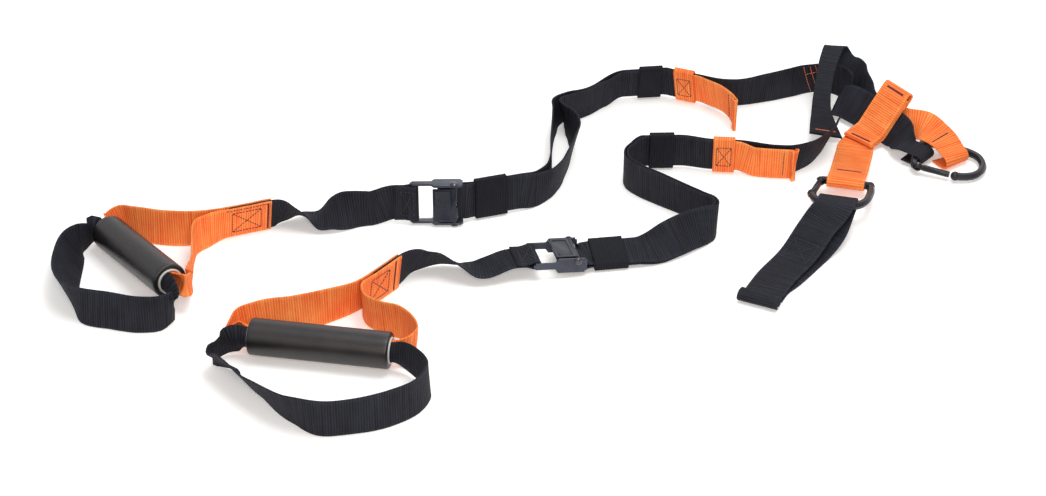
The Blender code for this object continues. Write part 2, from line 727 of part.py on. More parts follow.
def band_layer(table, key, shift, share=1.0, order=0.0):
    """Two straight stops of one layer under a band."""
    low, high, along, face, across = band_stretch(table, key, 0.0, 0.0)
    ends = (low, low + (high - low) * share)
    return [stop(end + face * shift, across, rigid=3.0 + order) for end in ends]


def band(name, table, key, offset, length, colour):
    """A closed band of webbing round the two layers of a strap."""
    low, high, along, face, across = band_stretch(table, key, 0.0, 0.0)
    middle = low + along * (offset + length / 2)
    reach_across = half_web + band_gap + webbing_thickness / 2
    reach_face = layer_pitch / 2 + webbing_thickness + band_gap
    corner = webbing_thickness / 2 + band_corner_radius
    stops = []
    for quarter, signs in enumerate(((1, 1), (-1, 1), (-1, -1), (1, -1))):
        centre = (signs[0] * (reach_across - corner), signs[1] * (reach_face - corner))
        for spot in arc(centre, corner, quarter / 4, quarter / 4 + 0.25, 3):
            stops.append(stop(middle + across * spot[0] + face * spot[1], along, share=length / webbing_width))
    stops.append(stops[0])
    return ribbon(name, np.array(stops), colour, closed=True, at=middle)


half_pitch = layer_pitch / 2


def main_strap(side):
    """One adjustable strap: from its sewn end at the slider down to the buckle and back to the knot."""
    exit_place = buckle_half + fit_gap
    lower = side + "_lower"
    upper = side + "_upper"
    flat = settled(smooth(joined(
        band_layer(keeper_shares, lower, -half_pitch),
        free(tail_shares[side], free_layer_pitch / layer_pitch if side == "b" else 0),
        band_layer(keeper_shares, upper, -half_pitch),
    )))
    tail = smooth(joined(
        in_buckle(side, [(turn_place, front_layer_offset), (exit_place, front_layer_offset)], rigid=2.0),
        band_layer(keeper_shares, lower, -half_pitch),
        marked(flat[2:-2]),
        band_layer(keeper_shares, upper, -half_pitch),
        band_layer(slider_shares, side, -half_pitch, share=0.55, order=1.0),
    ))
    back = base_bar_offset + turn_radius
    head = in_buckle(side, [(turn_place, back), (exit_place, back)], rigid=2.0)
    middle = free(main_branch_shares[side]) if side == "a" else shifted(flat, free_layer_pitch)[2:-2]
    main = smooth(joined(
        head,
        band_layer(keeper_shares, lower, half_pitch),
        middle,
        band_layer(keeper_shares, upper, half_pitch),
        band_layer(slider_shares, side, half_pitch, order=1.0),
        free(main_end_shares[side]),
    ))
    bend = arc((turn_place, base_bar_offset), turn_radius, 0.75, 0.25, 6)[1:-1]
    turn = in_buckle(side, bend)
    return ribbon("main_strap_" + side, joined(tail[::-1], turn, main), black_webbing, layered=True)


def pull_tab(side):
    """The loose end that is pulled to shorten the strap; its end is folded back for a hem."""
    low, high, along, face, across = band_stretch(slider_shares, side, 0.0, 0.0)
    first = low + (high - low) * 0.58 - face * half_pitch
    second = high - face * half_pitch
    start = [stop(first, across, rigid=1.0), stop(second, across, rigid=1.0)]
    out = smooth(joined(start, free(pull_tab_shares[side])))
    hem = shifted(out, -layer_pitch * 1.2)[-2:]
    across_end, face_end = frames(out)
    ahead = Vector(np.cross(face_end[-1], across_end[-1]))
    bend = fold(Vector(out[-1, :3]), Vector(hem[-1, :3]), ahead, Vector(across_end[-1]))
    return ribbon("pull_tab_" + side, joined(out, bend, hem[::-1]), orange_webbing)


def grip_axes(side):
    """A grip's far end, near end, direction, its right hand side and its upper side."""
    far, near = (place(*row) for row in grip_shares[side])
    along = (near - far).normalized()
    right = along.cross(Vector((0.0, 0.0, 1.0))).normalized()
    return far, near, along, right, right.cross(along)


def mouth(side, near_end, back, distance, curl, share, rigid=0.0):
    """One stop of a web in the grip's tube or just outside it, on its back or its front side."""
    far, near, along, right, up = grip_axes(side)
    sign = -1.0 if back else 1.0
    reach = grip_length / 2 + tube_overhang + distance
    axis = (far + near) / 2 + along * (reach if near_end else -reach)
    return stop(axis + right * sign * web_curl_radius, up, -sign * curl, share, rigid)


def handle_loop(side, at):
    """The orange loop: sewn on the lower strap, through the grip's tube and back."""
    half_angle = web_curl_angle
    lower_all, lower_count = lower_route(side)
    route = smooth(joined(
        shifted(lower_all, -layer_pitch)[lower_count - 1::-1],
        free(handle_front_shares[side]),
        [
            mouth(side, True, True, mouth_out, 0.8, 0.92),
            mouth(side, True, True, mouth_lip, half_angle, web_width_share, rigid=2.0),
            mouth(side, True, True, mouth_in, half_angle, web_width_share, rigid=2.0),
            mouth(side, False, True, mouth_in, half_angle, web_width_share, rigid=2.0),
            mouth(side, False, True, mouth_lip, half_angle, web_width_share, rigid=2.0),
            mouth(side, False, True, mouth_out, 0.8, 0.92),
        ],
        free(handle_back_shares[side]),
        shifted(lower_all, layer_pitch)[:lower_count],
    ), strap_step)
    return ribbon("handle_loop_" + side, route, orange_webbing, cells=6, at=at, layered=True)


def foot_cradle(side, at):
    """The black web for the foot: its two ends meet in the middle of the grip's tube."""
    half_angle = web_curl_angle
    inside = grip_length / 2 + tube_overhang - fit_gap
    route = smooth(joined(
        [
            mouth(side, False, False, -inside, half_angle, web_width_share, rigid=2.0),
            mouth(side, False, False, mouth_in, half_angle, web_width_share, rigid=2.0),
            mouth(side, False, False, mouth_lip, half_angle, web_width_share, rigid=2.0),
            mouth(side, False, False, mouth_out, 0.8, 0.92),
        ],
        free(cradle_shares[side]),
        [
            mouth(side, True, False, mouth_out, 0.8, 0.92),
            mouth(side, True, False, mouth_lip, half_angle, web_width_share, rigid=2.0),
            mouth(side, True, False, mouth_in, half_angle, web_width_share, rigid=2.0),
            mouth(side, True, False, -inside, half_angle, web_width_share, rigid=2.0),
        ],
    ), strap_step)
    return ribbon("foot_cradle_" + side, route, black_webbing, cells=6, at=at)


def lower_route(side):
    """The lower strap's route, and how many of its first stops the orange loop's ends lie on."""
    rows = free(lower_strap_shares[side])
    loop = arc((end_bar_place, 0.0), end_loop_radius, 0.30, -0.30, 7)
    near_lap = end_bar_place - sewn_loop_length * 0.45
    far_lap = end_bar_place - sewn_loop_length * 0.9
    lap = [(near_lap, -half_pitch), (far_lap, -half_pitch)]
    lead = [(far_lap, half_pitch), (near_lap, half_pitch)]
    local = in_buckle(side, lead + loop + lap, flip=-1.0)
    for spot in local:
        spot[8] = 0.0
    route = smooth(joined(rows, local))
    last = int(np.argmin(np.linalg.norm(route[:, :3] - np.array(rows[2][:3]), axis=1)))
    return route, last + 1


def lower_strap(side, at):
    """The short strap from the handle's patch to the loop round the buckle's end bar."""
    return ribbon("lower_strap_" + side, lower_route(side)[0], black_webbing, at=at, layered=True)


def grip(side):
    far, near, along, right, up = grip_axes(side)
    frame = axes_frame((far + near) / 2, right, up * -1.0, along)
    half = grip_length / 2
    outer = foam_diameter / 2
    inner = outer - foam_wall
    edge = foam_edge_radius
    profile = (
        (inner, half), (outer - edge, half), (outer - 0.3 * edge, half - 0.3 * edge), (outer, half - edge),
        (outer, edge - half), (outer - 0.3 * edge, 0.3 * edge - half), (outer - edge, -half), (inner, -half),
    )
    turned("grip_foam_" + side, profile, frame, foam_grey, 28, 0.9, closed=True)
    outside = inner - fit_gap
    inside = outside - tube_wall
    reach = half + tube_overhang
    profile = ((inside, reach), (outside, reach), (outside, -reach), (inside, -reach))
    turned("grip_tube_" + side, profile, frame, tube_white, 24, 0.45, closed=True)


def buckle(side):
    """The buckle's frame, its pin, the sprung cam with its lever, and the spring."""
    middle, along, face, across = buckle_axes(side)
    frame = axes_frame(middle, along, face, across)
    bm = bmesh.new()
    bmesh.ops.create_grid(bm, x_segments=3, y_segments=1, size=0.5)
    columns = (-buckle_half, buckle_half - body_length - cheek_step, buckle_half - body_length, buckle_half)
    halves = (arm_depth / 2, arm_depth / 2, body_depth / 2, body_depth / 2)
    for vert in bm.verts:
        k = round((vert.co.x + 0.5) * 3)
        vert.co = Vector((columns[k], (2 * vert.co.y) * halves[k], (plate_inner + plate_outer) / 2))
    corners = [vert for vert in bm.verts if len(vert.link_edges) == 2]
    bmesh.ops.bevel(bm, geom=corners, offset=plate_corner_radius, segments=3, affect="VERTICES")
    other = bm.copy()
    bmesh.ops.scale(other, verts=other.verts, vec=(1.0, 1.0, -1.0))
    made = finish("buckle_frame_" + side, bm, buckle_grey, 0.45, 0.0)
    made.matrix_world = frame
    lower_plate = cutter("lower_plate_" + side, other, frame)
    for plate in (made, lower_plate):
        shell = plate.modifiers.new("Plate", "SOLIDIFY")
        shell.thickness = plate_thickness
        shell.offset = 0.0
    reach = (plate_inner + plate_outer) / 2
    end_bar = cylinder(end_bar_radius, -reach, reach, middle=(end_bar_place, 0.0))
    low = (base_bar_start, base_bar_offset - base_bar_thickness / 2, -reach)
    high = (base_bar_start + base_bar_length, base_bar_offset + base_bar_thickness / 2, reach)
    base_bar = block(low, high, bevel=base_bar_thickness * 0.48, segments=3)
    combine(made, lower_plate, "UNION")
    combine(made, cutter("end_bar_" + side, end_bar, frame), "UNION")
    combine(made, cutter("base_bar_" + side, base_bar, frame), "UNION")
    far = plate_outer + rivet_height
    hole = cylinder(pin_radius + fit_gap, -far, far, middle=(pin_place, pin_offset))
    combine(made, cutter("pin_hole_" + side, hole, frame), "DIFFERENCE")

    pin_middle = middle + along * pin_place + face * pin_offset
    pin_frame = axes_frame(pin_middle, along, face, across)
    seat = plate_outer + fit_gap
    top = seat + rivet_height
    half_profile = (
        (0.0, top), (rivet_radius * 0.5, top - rivet_height * 0.12), (rivet_radius * 0.85, top - rivet_height * 0.45),
        (rivet_radius, seat + rivet_height * 0.1), (rivet_radius, seat), (pin_radius, seat),
    )
    profile = half_profile + tuple((radius, -height) for radius, height in reversed(half_profile))
    turned("buckle_pin_" + side, profile, pin_frame, steel_grey, 16, 0.35, 1.0)

    reach = plate_inner - cam_side_clearance
    bm = cylinder(cam_radius, -reach, reach, sides=drum_facets)
    for vert in bm.verts:
        angle = atan2(vert.co.y, vert.co.x)
        k = round(angle / (2 * pi) * drum_facets)
        if k % 2 == 0 and vert.co.y > -cam_radius * 0.3:
            vert.co.x *= 1 + tooth_height / cam_radius
            vert.co.y *= 1 + tooth_height / cam_radius
    made = finish("buckle_cam_" + side, bm, buckle_grey, 0.45, 0.0)
    made.matrix_world = pin_frame
    under = -cam_radius + lever_thickness * 0.8
    plate = block((-lever_length, under - lever_thickness, lever_rim * 0.4 - half_web),
                  (0.0, under, half_web - lever_rim * 0.4), bevel=lever_thickness * 0.3, along=2)
    combine(made, cutter("lever_" + side, plate, pin_frame), "UNION")
    recess = block(
        (lever_rim - lever_length, under - lever_thickness - cut_overrun, lever_rim * 1.4 - half_web),
        (-cam_radius * 1.3, under - lever_thickness + lever_recess, half_web - lever_rim * 1.4),
    )
    combine(made, cutter("recess_" + side, recess, pin_frame), "DIFFERENCE")
    bore = cylinder(pin_radius + fit_gap, -reach - cut_overrun, reach + cut_overrun)
    combine(made, cutter("bore_" + side, bore, pin_frame), "DIFFERENCE")
    wide = cam_radius + cut_overrun
    slot = block((-wide, -spring_slot_depth, -spring_slot / 2), (wide, wide, spring_slot / 2))
    combine(made, cutter("slot_" + side, slot, pin_frame), "DIFFERENCE")

    points = []
    count = spring_turns * 10
    for k in range(count + 1):
        angle = 2 * pi * k / 10
        height = spring_pitch * (k / 10 - spring_turns / 2)
        spot = Vector((spring_radius * cos(angle), spring_radius * sin(angle), height, 1.0))
        points.append((pin_frame @ spot).xyz)
    wire("buckle_spring_" + side, points, spring_wire_radius, steel_grey, resolution=0)


def bundle_axes():
    """The sling's doubled stretch: its two ends, its direction, its width's direction, its face."""
    first, second, along, across = bundle_shares
    first = place(*first)
    second = place(*second)
    along = (second - first).normalized()
    across = Vector(across)
    across = (across - along * across.dot(along)).normalized()
    return first, second, along, across, across.cross(along)


bar_loop_radius = bar_radius + fit_gap + webbing_thickness / 2


def pocket(middle, ahead, across, up, reach, back, share=1.0):
    """Stops of a flat loop round a bar: in above it, round the front and back below it."""
    radius = bar_loop_radius
    front = middle + ahead * reach
    rear = middle - ahead * back
    bend = [
        front + up * radius * cos(pi * k / 6) + ahead * radius * sin(pi * k / 6)
        for k in range(7)
    ]
    places = [rear + up * radius] + bend + [rear - up * radius]
    return [stop(spot, across, share=share, rigid=2.0) for spot in places]


def sling():
    """The black sling: from its loop round the first carabiner's bar into the straps' meeting point."""
    first, second, along, across, face = bundle_axes()
    front = [stop(end - face * half_pitch, across, rigid=3.0) for end in (first, second)]
    origin, u, v, normal = carabiner_axes("1")
    ahead = Vector(sling_heading_shares)
    ahead = (ahead - normal * ahead.dot(normal)).normalized()
    middle = origin + u * sling_bar_reach[2]
    bar = pocket(middle, ahead, normal.cross(ahead), normal, *sling_bar_reach[:2], sling_bar_share)
    route = smooth(joined(
        aloft(sling_dive_shares), front, aloft(sling_end_shares), bar,
    ), strap_step * 0.8)
    return ribbon("anchor_sling", route, black_webbing)


def sling_bight():
    """The sling's other half: behind the first, round the meeting point, over the far strap and down."""
    first, second, along, across, face = bundle_axes()
    back = [stop(end + face * half_pitch, across, rigid=2.0) for end in (second, first)]
    route = smooth(joined(back, aloft(bight_shares)), strap_step * 0.8)
    return ribbon("sling_bight", route, black_webbing)


def fold(start, end, ahead, across):
    """The stops of a flat fold between two layers."""
    middle = (start + end) / 2
    reach = (start - end) / 2
    radius = reach.length
    return [
        stop(middle + ahead * radius * sin(pi * k / 6) + reach * cos(pi * k / 6), across)
        for k in range(1, 6)
    ]


def anchor_strap():
    """The orange strap: folded flat on the sling, then down and round the second carabiner's bar."""
    first, second, along, across, face = bundle_axes()
    origin = place(*pack_shares)
    back = -half_pitch - layer_pitch
    start, top, inner_top, middle_level, foot_level = (share * layout_span for share in pack_levels)
    inner = [
        stop(origin + across * up + face * back, along, rigid=2.0)
        for up in (inner_top, middle_level, foot_level)
    ]
    base = smooth(joined(inner, aloft(pack_foot_shares)))
    second_layer = shifted(base, -layer_pitch)
    front_layer = shifted(base, -2 * layer_pitch)
    widths = Vector(frames(base)[0][-1])
    ahead = Vector(base[-1, :3] - base[-2, :3]).normalized()
    front_top = Vector(front_layer[0, :3]) + across * (top - inner_top)
    behind_top = front_top + face * (3 * layer_pitch)
    behind = [stop(behind_top + across * (start - top), along), stop(behind_top, along)]
    upper_fold = fold(behind_top, front_top, across, along)
    foot_fold = fold(Vector(front_layer[-1, :3]), Vector(second_layer[-1, :3]), ahead, widths)
    inner_fold = fold(Vector(second_layer[0, :3]), Vector(base[0, :3]), across, along)
    tight = joined(
        behind, upper_fold, [stop(front_top, along)], front_layer, foot_fold, second_layer[::-1], inner_fold, base,
    )
    tight[:, 8] = 1.0
    eye, u, v, normal = carabiner_axes("2")
    bar = pocket(eye, v, u * -1.0, normal, *anchor_bar_reach)
    route = smooth(joined(tight, aloft(anchor_lead_shares), bar), strap_step)
    return ribbon("anchor_strap", route, orange_webbing)


def anchor_loop():
    """The orange end loop: from behind the sling, over the first carabiner's long side and back under it."""
    first, second, along, across, face = bundle_axes()
    lead = [stop(first + along * reach + face * (half_pitch + layer_pitch * 1.3), across)
            for reach in end_loop_reaches]
    route = smooth(joined(lead, free(anchor_loop_shares), aloft(anchor_over_shares)), strap_step * 0.7)
    return ribbon("anchor_loop", route, orange_webbing)


def carabiner_axes(key):
    """A carabiner's bar middle, then across it, along it to its crown, and its face."""
    middle, along, up = carabiner_shares[key]
    along = Vector(along).normalized()
    up = Vector(up)
    up = (up - along * up.dot(along)).normalized()
    return place(*middle), along.cross(up), along, up


def carabiner(key):
    """A carabiner's body, its gate on a pin."""
    origin, u, v, normal = carabiner_axes(key)
    frame = axes_frame(origin, u, v, normal)
    stops = np.array([[x * layout_span, y * layout_span, 0.0] + [0.0] * 6 for x, y in carabiner_path_shares])
    line = smooth(stops, strap_step * 0.5)[:, :3]
    bar = wire("bar_" + key, [Vector(point) for point in line], bar_radius, carabiner_black, 1, target=cutters)
    shape = bpy.context.evaluated_depsgraph_get()
    mesh = bpy.data.meshes.new_from_object(bar.evaluated_get(shape))
    bm = bmesh.new()
    bm.from_mesh(mesh)
    bmesh.ops.remove_doubles(bm, verts=bm.verts, dist=weld_distance)
    bpy.data.objects.remove(bar, do_unlink=True)
    made = finish("carabiner_body_" + key, bm, carabiner_black, 0.35, 1.0)
    made.data.materials.clear()
    made.data.materials.append(material("carabiner_body_" + key, carabiner_black, 0.35, 1.0))
    made.matrix_world = frame
    for k, spot in enumerate(carabiner_knob_shares):
        bm = bmesh.new()
        bmesh.ops.create_uvsphere(bm, u_segments=12, v_segments=7, radius=knob_radius)
        bmesh.ops.translate(bm, verts=bm.verts, vec=(spot[0] * layout_span, spot[1] * layout_span, 0.0))
        combine(made, cutter("knob_" + key + str(k), bm, frame), "UNION")
    hinge, nose = (Vector((spot[0] * layout_span, spot[1] * layout_span, 0.0)) for spot in carabiner_knob_shares[:2])
    lean = (nose - hinge).normalized()
    side = lean.cross(Vector((0.0, 0.0, 1.0)))
    gate_local = axes_frame(hinge, side, lean, Vector((0.0, 0.0, 1.0)))
    gate_frame = frame @ gate_local
    wide = knob_radius * 2
    half_slot = tongue_thickness / 2 + fit_gap
    slot = block((-wide, -tongue_slot_depth, -half_slot), (wide, wide, half_slot))
    combine(made, cutter("gate_slot_" + key, slot, gate_frame), "DIFFERENCE")
    far = knob_radius * 1.2
    hole = cylinder(gate_pin_radius + fit_gap, -far, far, sides=12)
    combine(made, cutter("gate_pin_hole_" + key, hole, gate_frame), "DIFFERENCE")

    bm = cylinder(gate_radius, gate_barrel_start, gate_length, sides=14, axis="Y")
    gate = finish("gate_" + key, bm, carabiner_black, 0.35, 1.0)
    gate.matrix_world = gate_frame
    low = (-tongue_radius, -tongue_radius, -tongue_thickness / 2)
    high = (tongue_radius, gate_barrel_start + gate_radius, tongue_thickness / 2)
    combine(gate, cutter("tongue_" + key, block(low, high), gate_frame), "UNION")
    hole = cylinder(gate_pin_radius + fit_gap, -far, far, sides=12)
    combine(gate, cutter("tongue_hole_" + key, hole, gate_frame), "DIFFERENCE")
    bm = cylinder(gate_pin_radius, -knob_radius * 0.85, knob_radius * 0.85, sides=12)
    pin = finish("gate_pin_" + key, bm, steel_grey, 0.3, 1.0)
    pin.matrix_world = gate_frame


def captive_wire():
    """The thin wire that keeps the door strap at the second carabiner's crown."""
    origin, u, v, normal = carabiner_axes("2")
    reach = bar_radius * 5.2
    points = []
    for k in range(9):
        share = k / 4 - 1
        points.append(origin + u * reach * share + v * (eye_wire_level - captive_sag * share ** 2))
    return wire("captive_wire", points, captive_wire_radius, steel_grey, resolution=1)


def door_strap():
    """The door strap: from its roll, round the second carabiner's crown and back."""
    origin, u, v, normal = carabiner_axes("2")
    middle = origin + v * door_bar_place
    bar = pocket(middle, v * -1.0, u * -1.0, normal, *door_bar_reach)
    route = smooth(joined(free(door_strap_shares), bar, free(door_return_shares)), strap_step)
    return ribbon("door_strap", route, black_webbing, at=middle)


def door_roll():
    """The rolled end of the door strap."""
    middle, along, across = roll_shares
    along = Vector(along).normalized()
    across = Vector(across).normalized()
    middle = place(*middle)
    frame = axes_frame(middle, across, along, Vector((0.0, 0.0, 1.0)))
    bm = block((-roll_width / 2, -roll_depth / 2, fit_gap), (roll_width / 2, roll_depth / 2, roll_thickness),
               bevel=roll_corner_radius, along=0, segments=3)
    made = finish("door_roll", bm, black_webbing)
    made.matrix_world = frame


def build():
    for side in ("a", "b"):
        middle, along, face, across = buckle_axes(side)
        handle_hinge = middle + along * end_bar_place
        handle_loop(side, handle_hinge)
        foot_cradle(side, handle_hinge)
        lower_strap(side, handle_hinge)
        grip(side)
        buckle(side)
        main_strap(side)
        pull_tab(side)
        band("slider_" + side, slider_shares, side, 0.0, slider_length, orange_webbing)
    for key, (offset, length) in keeper_places.items():
        band("keeper_" + key, keeper_shares, key, offset * layout_span, length, black_webbing)
    sling()
    sling_bight()
    anchor_strap()
    anchor_loop()
    carabiner("1")
    carabiner("2")
    captive_wire()
    door_strap()
    door_roll()


keeper_places = {
    "a_lower": (0.0006, lower_keeper_length),
    "a_upper": (0.0145, upper_keeper_length),
    "b_lower": (0.0006, lower_keeper_length),
    "b_upper": (0.0045, upper_keeper_length),
}

for found in list(bpy.data.objects):
    bpy.data.objects.remove(found, do_unlink=True)
parts = bpy.data.collections.new("suspension_trainer")
cutters = bpy.data.collections.new("cutters")
bpy.context.scene.collection.children.link(parts)
bpy.context.scene.collection.children.link(cutters)
cutters.hide_render = True
build()
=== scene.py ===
"""Looks of the suspension trainer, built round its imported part.

Every strap is a surface computed along its route, close to the one that the part's
strap has, with rounded edges, a woven rib and sewn seams. Metres, +Z up, and the
origin is under the middle of the layout.
"""

import json
from math import ceil, cos, pi, sin, sqrt

import bpy
import numpy as np
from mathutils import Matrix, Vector

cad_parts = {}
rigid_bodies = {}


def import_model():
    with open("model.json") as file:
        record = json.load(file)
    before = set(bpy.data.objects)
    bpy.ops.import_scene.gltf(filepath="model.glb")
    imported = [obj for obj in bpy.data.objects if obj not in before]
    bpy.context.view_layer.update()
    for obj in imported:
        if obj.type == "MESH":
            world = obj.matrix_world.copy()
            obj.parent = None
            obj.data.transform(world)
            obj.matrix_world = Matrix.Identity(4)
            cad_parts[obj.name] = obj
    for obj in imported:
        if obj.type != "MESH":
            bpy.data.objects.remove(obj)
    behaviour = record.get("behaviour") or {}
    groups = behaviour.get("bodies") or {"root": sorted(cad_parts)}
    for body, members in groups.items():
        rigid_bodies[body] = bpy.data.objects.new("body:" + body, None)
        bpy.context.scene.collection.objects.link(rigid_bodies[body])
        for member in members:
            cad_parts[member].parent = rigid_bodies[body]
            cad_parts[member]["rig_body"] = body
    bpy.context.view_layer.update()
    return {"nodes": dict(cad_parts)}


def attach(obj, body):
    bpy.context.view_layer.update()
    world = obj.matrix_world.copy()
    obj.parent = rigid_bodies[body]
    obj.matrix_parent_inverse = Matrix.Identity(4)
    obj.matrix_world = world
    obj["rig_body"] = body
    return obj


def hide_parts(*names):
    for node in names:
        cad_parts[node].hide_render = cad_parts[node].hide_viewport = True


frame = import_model()
nodes = frame["nodes"]

# Webbing
webbing_width = 0.038
webbing_thickness = 0.0018
fit_gap = 0.0003
layer_gap = 0.0005
strap_step = 0.0035
sling_step = strap_step * 0.8
loop_step = strap_step * 0.7
half_web = webbing_width / 2
layer_pitch = webbing_thickness + layer_gap
half_pitch = layer_pitch / 2
free_layer_pitch = webbing_thickness + 2.4 * layer_gap
least_mitre = 0.6
floor_gap = fit_gap / 3

# The webbing's section: points round each edge and along each face, and its thicker edges
edge_steps = 5
side_steps = 14
least_curl = 0.01
edge_bead = 0.10
bead_start_share = 0.82

# Weave
rib_pitch = 0.0024
yarn_pitch = 0.0012
streaks_per_metre = 300.0
waves_per_metre = 14.0
rim_start = half_web - 0.0032
rim_end = half_web - 0.0024
band_weave_length = 0.011

# Stitches
stitch_length = 0.0028
stitch_gap = 0.0003
stitch_radius = 0.00042
stitch_rings = 5
stitch_end_space = 0.2
stitch_thin_end = 0.35
stitch_sunk_share = 0.45
stitch_sides = 6
bar_pitch = 0.0008
seam_step = 0.002

# Grips
grip_length = 0.130
foam_diameter = 0.034
foam_wall = 0.0042
foam_sides = 72
tube_sides = 64
tube_edge_share = 0.45
foam_edge_radius = 0.0022
tube_wall = 0.0018
tube_overhang = 0.0012
web_curl_radius = 0.0094
web_curl_angle = 1.50
web_width_share = web_curl_angle * web_curl_radius / half_web
mouth_out = 0.0100
mouth_lip = 0.0015
mouth_in = -0.0050
mouth_curl = 0.8
loop_mouth_share = 0.72
cradle_mouth_share = 0.80

# Cam buckles
buckle_length = 0.052
buckle_half = buckle_length / 2
end_bar_radius = 0.0026
end_bar_inset = 0.0042
base_bar_length = 0.020
base_bar_inset = 0.003
base_bar_thickness = 0.0025
front_layer_offset = 0.0007
base_bar_start = buckle_half - base_bar_inset - base_bar_length
turn_radius = base_bar_thickness / 2 + fit_gap + webbing_thickness / 2
base_bar_offset = front_layer_offset + turn_radius
turn_place = base_bar_start + base_bar_thickness / 2
end_bar_place = end_bar_inset - buckle_half
end_loop_radius = end_bar_radius + fit_gap + webbing_thickness / 2
end_loop_turns = 0.30
sewn_loop_length = 0.022
near_lap = end_bar_place - sewn_loop_length * 0.45
far_lap = end_bar_place - sewn_loop_length * 0.9

# Keepers and sliders: each keeper's place on its stretch, and its length
lower_keeper_length = 0.033
upper_keeper_length = 0.025
slider_length = 0.022
band_gap = 0.0005
band_corner_radius = 0.0007
tab_start_share = 0.58
tail_end_share = 0.55
keeper_places = {
    "a_lower": (0.0006, lower_keeper_length),
    "a_upper": (0.0145, upper_keeper_length),
    "b_lower": (0.0006, lower_keeper_length),
    "b_upper": (0.0045, upper_keeper_length),
}

# Carabiners
bar_radius = 0.0040
bar_loop_radius = bar_radius + fit_gap + webbing_thickness / 2
sling_bar_reach = (0.0058, 0.0115, 0.0010)
anchor_bar_reach = (0.0004, 0.0100)
door_bar_reach = (0.0080, 0.0105)
door_bar_place = 0.0635
end_loop_reaches = (0.004, 0.016)
end_loop_offset = half_pitch + layer_pitch * 1.3

# Door roll
roll_width = 0.040
roll_depth = 0.018
roll_thickness = 0.013
roll_turns = 2.35
roll_tightness = 0.95
roll_start_angle = pi * 0.65
roll_pieces = 110

# Softened edges of the hard parts
weld_distance = 0.00001
soft_edge_width = 0.00035
soft_edge_angle = 0.6
sharp_angle = 0.7

# Side of the square of floor that the layout's shares are counted in
layout_span = 1.0
layout_centre_shares = (0.01425, 0.0145)

# Places in the layout. A route's row is x, y and lift, then the direction of the
# webbing's width, and its share of the width where it is gathered. A grip has its two
# ends, and hardware has its middle, the way it points and the direction of its width.
grip_shares = {
    "a": ((-0.401, -0.001, 0.019), (-0.328, -0.106, 0.03)),
    "b": ((-0.248, -0.182, 0.02), (-0.117, -0.206, 0.02)),
}
buckle_shares = {
    "a": ((-0.085, 0.046, 0.0244), (1, 0.02, 0), (0, 0.03, 1)),
    "b": ((0.031, -0.034, 0.0128), (0.975, 0.21, -0.08), (-0.22, 0.97, -0.06)),
}
lower_strap_shares = {
    "a": (
        (-0.286, 0.018, 0, 0.06, -0.25, 0.97), (-0.266, 0.026, 0, 0.08, -0.25, 0.96),
        (-0.247, 0.0335, 0, 0.08, -0.25, 0.96), (-0.24, 0.036, 0, 0.09, -0.3, 0.94),
        (-0.23, 0.0385, 0, 0.11, -0.6, 0.8), (-0.218, 0.041, 0.002, 0.08, -0.85, 0.53),
        (-0.202, 0.043, 0.004, 0.02, -0.99, 0.05), (-0.186, 0.043, 0.002, -0.1, -0.8, -0.55),
        (-0.168, 0.042, 0, -0.1, -0.3, -0.95), (-0.15, 0.043, 0, 0, -0.06, -1),
    ),
    "b": (
        (-0.14, -0.101, 0, 0.03, -0.2, 0.98), (-0.129, -0.086, 0, 0.03, -0.2, 0.98),
        (-0.118, -0.071, 0, 0.03, -0.2, 0.98), (-0.112, -0.063, 0, 0.05, -0.26, 0.96),
        (-0.098, -0.05, 0, 0.1, -0.52, 0.85), (-0.078, -0.045, 0.002, 0.1, -0.7, 0.71),
        (-0.06, -0.05, 0.004, 0.12, -0.88, 0.45), (-0.045, -0.052, 0.006, 0.14, -0.98, 0.12),
    ),
}
handle_front_shares = {
    "a": (
        (-0.304, 0.002, 0, 0.02, -0.02, 1), (-0.315, -0.01, 0, 0.01, 0.05, 1),
        (-0.3165, -0.026, 0, 0.01, 0.1, 0.99), (-0.3145, -0.05, 0.001, 0.05, 0.05, 0.99),
        (-0.3125, -0.075, 0.004, 0.05, 0.05, 0.98, 0.82), (-0.312, -0.094, 0.012, -0.2, -0.25, 0.92, 0.62),
    ),
    "b": (
        (-0.148, -0.118, 0, 0, -0.2, 0.98), (-0.145, -0.136, 0, 0, -0.18, 0.98),
        (-0.13, -0.15, 0, 0, -0.1, 0.99), (-0.112, -0.16, 0.001, 0, -0.05, 0.99),
        (-0.099, -0.175, 0.003, 0.02, -0.05, 0.98, 0.88), (-0.0965, -0.19, 0.007, 0.1, 0.05, 0.97, 0.7),
    ),
}
handle_back_shares = {
    "a": (
        (-0.406, 0.02, 0.002, 0.3, 0.3, 0.85, 0.62), (-0.395, 0.024, 0, 0.1, -0.05, 0.97, 0.86),
        (-0.375, 0.014, 0, 0, 0.05, 1), (-0.35, 0.007, 0, 0, 0.1, 0.99), (-0.32, 0.006, 0, 0.05, 0.05, 1),
    ),
    "b": (
        (-0.268, -0.178, 0.004, -0.1, -0.2, 0.95, 0.58), (-0.262, -0.16, 0.001, 0.05, 0.1, 0.98, 0.82),
        (-0.24, -0.154, 0, 0.05, 0.25, 0.97), (-0.21, -0.145, 0, 0.02, 0.15, 0.98),
        (-0.18, -0.131, 0, 0.02, 0, 1), (-0.156, -0.116, 0, 0.03, -0.15, 0.98),
    ),
}
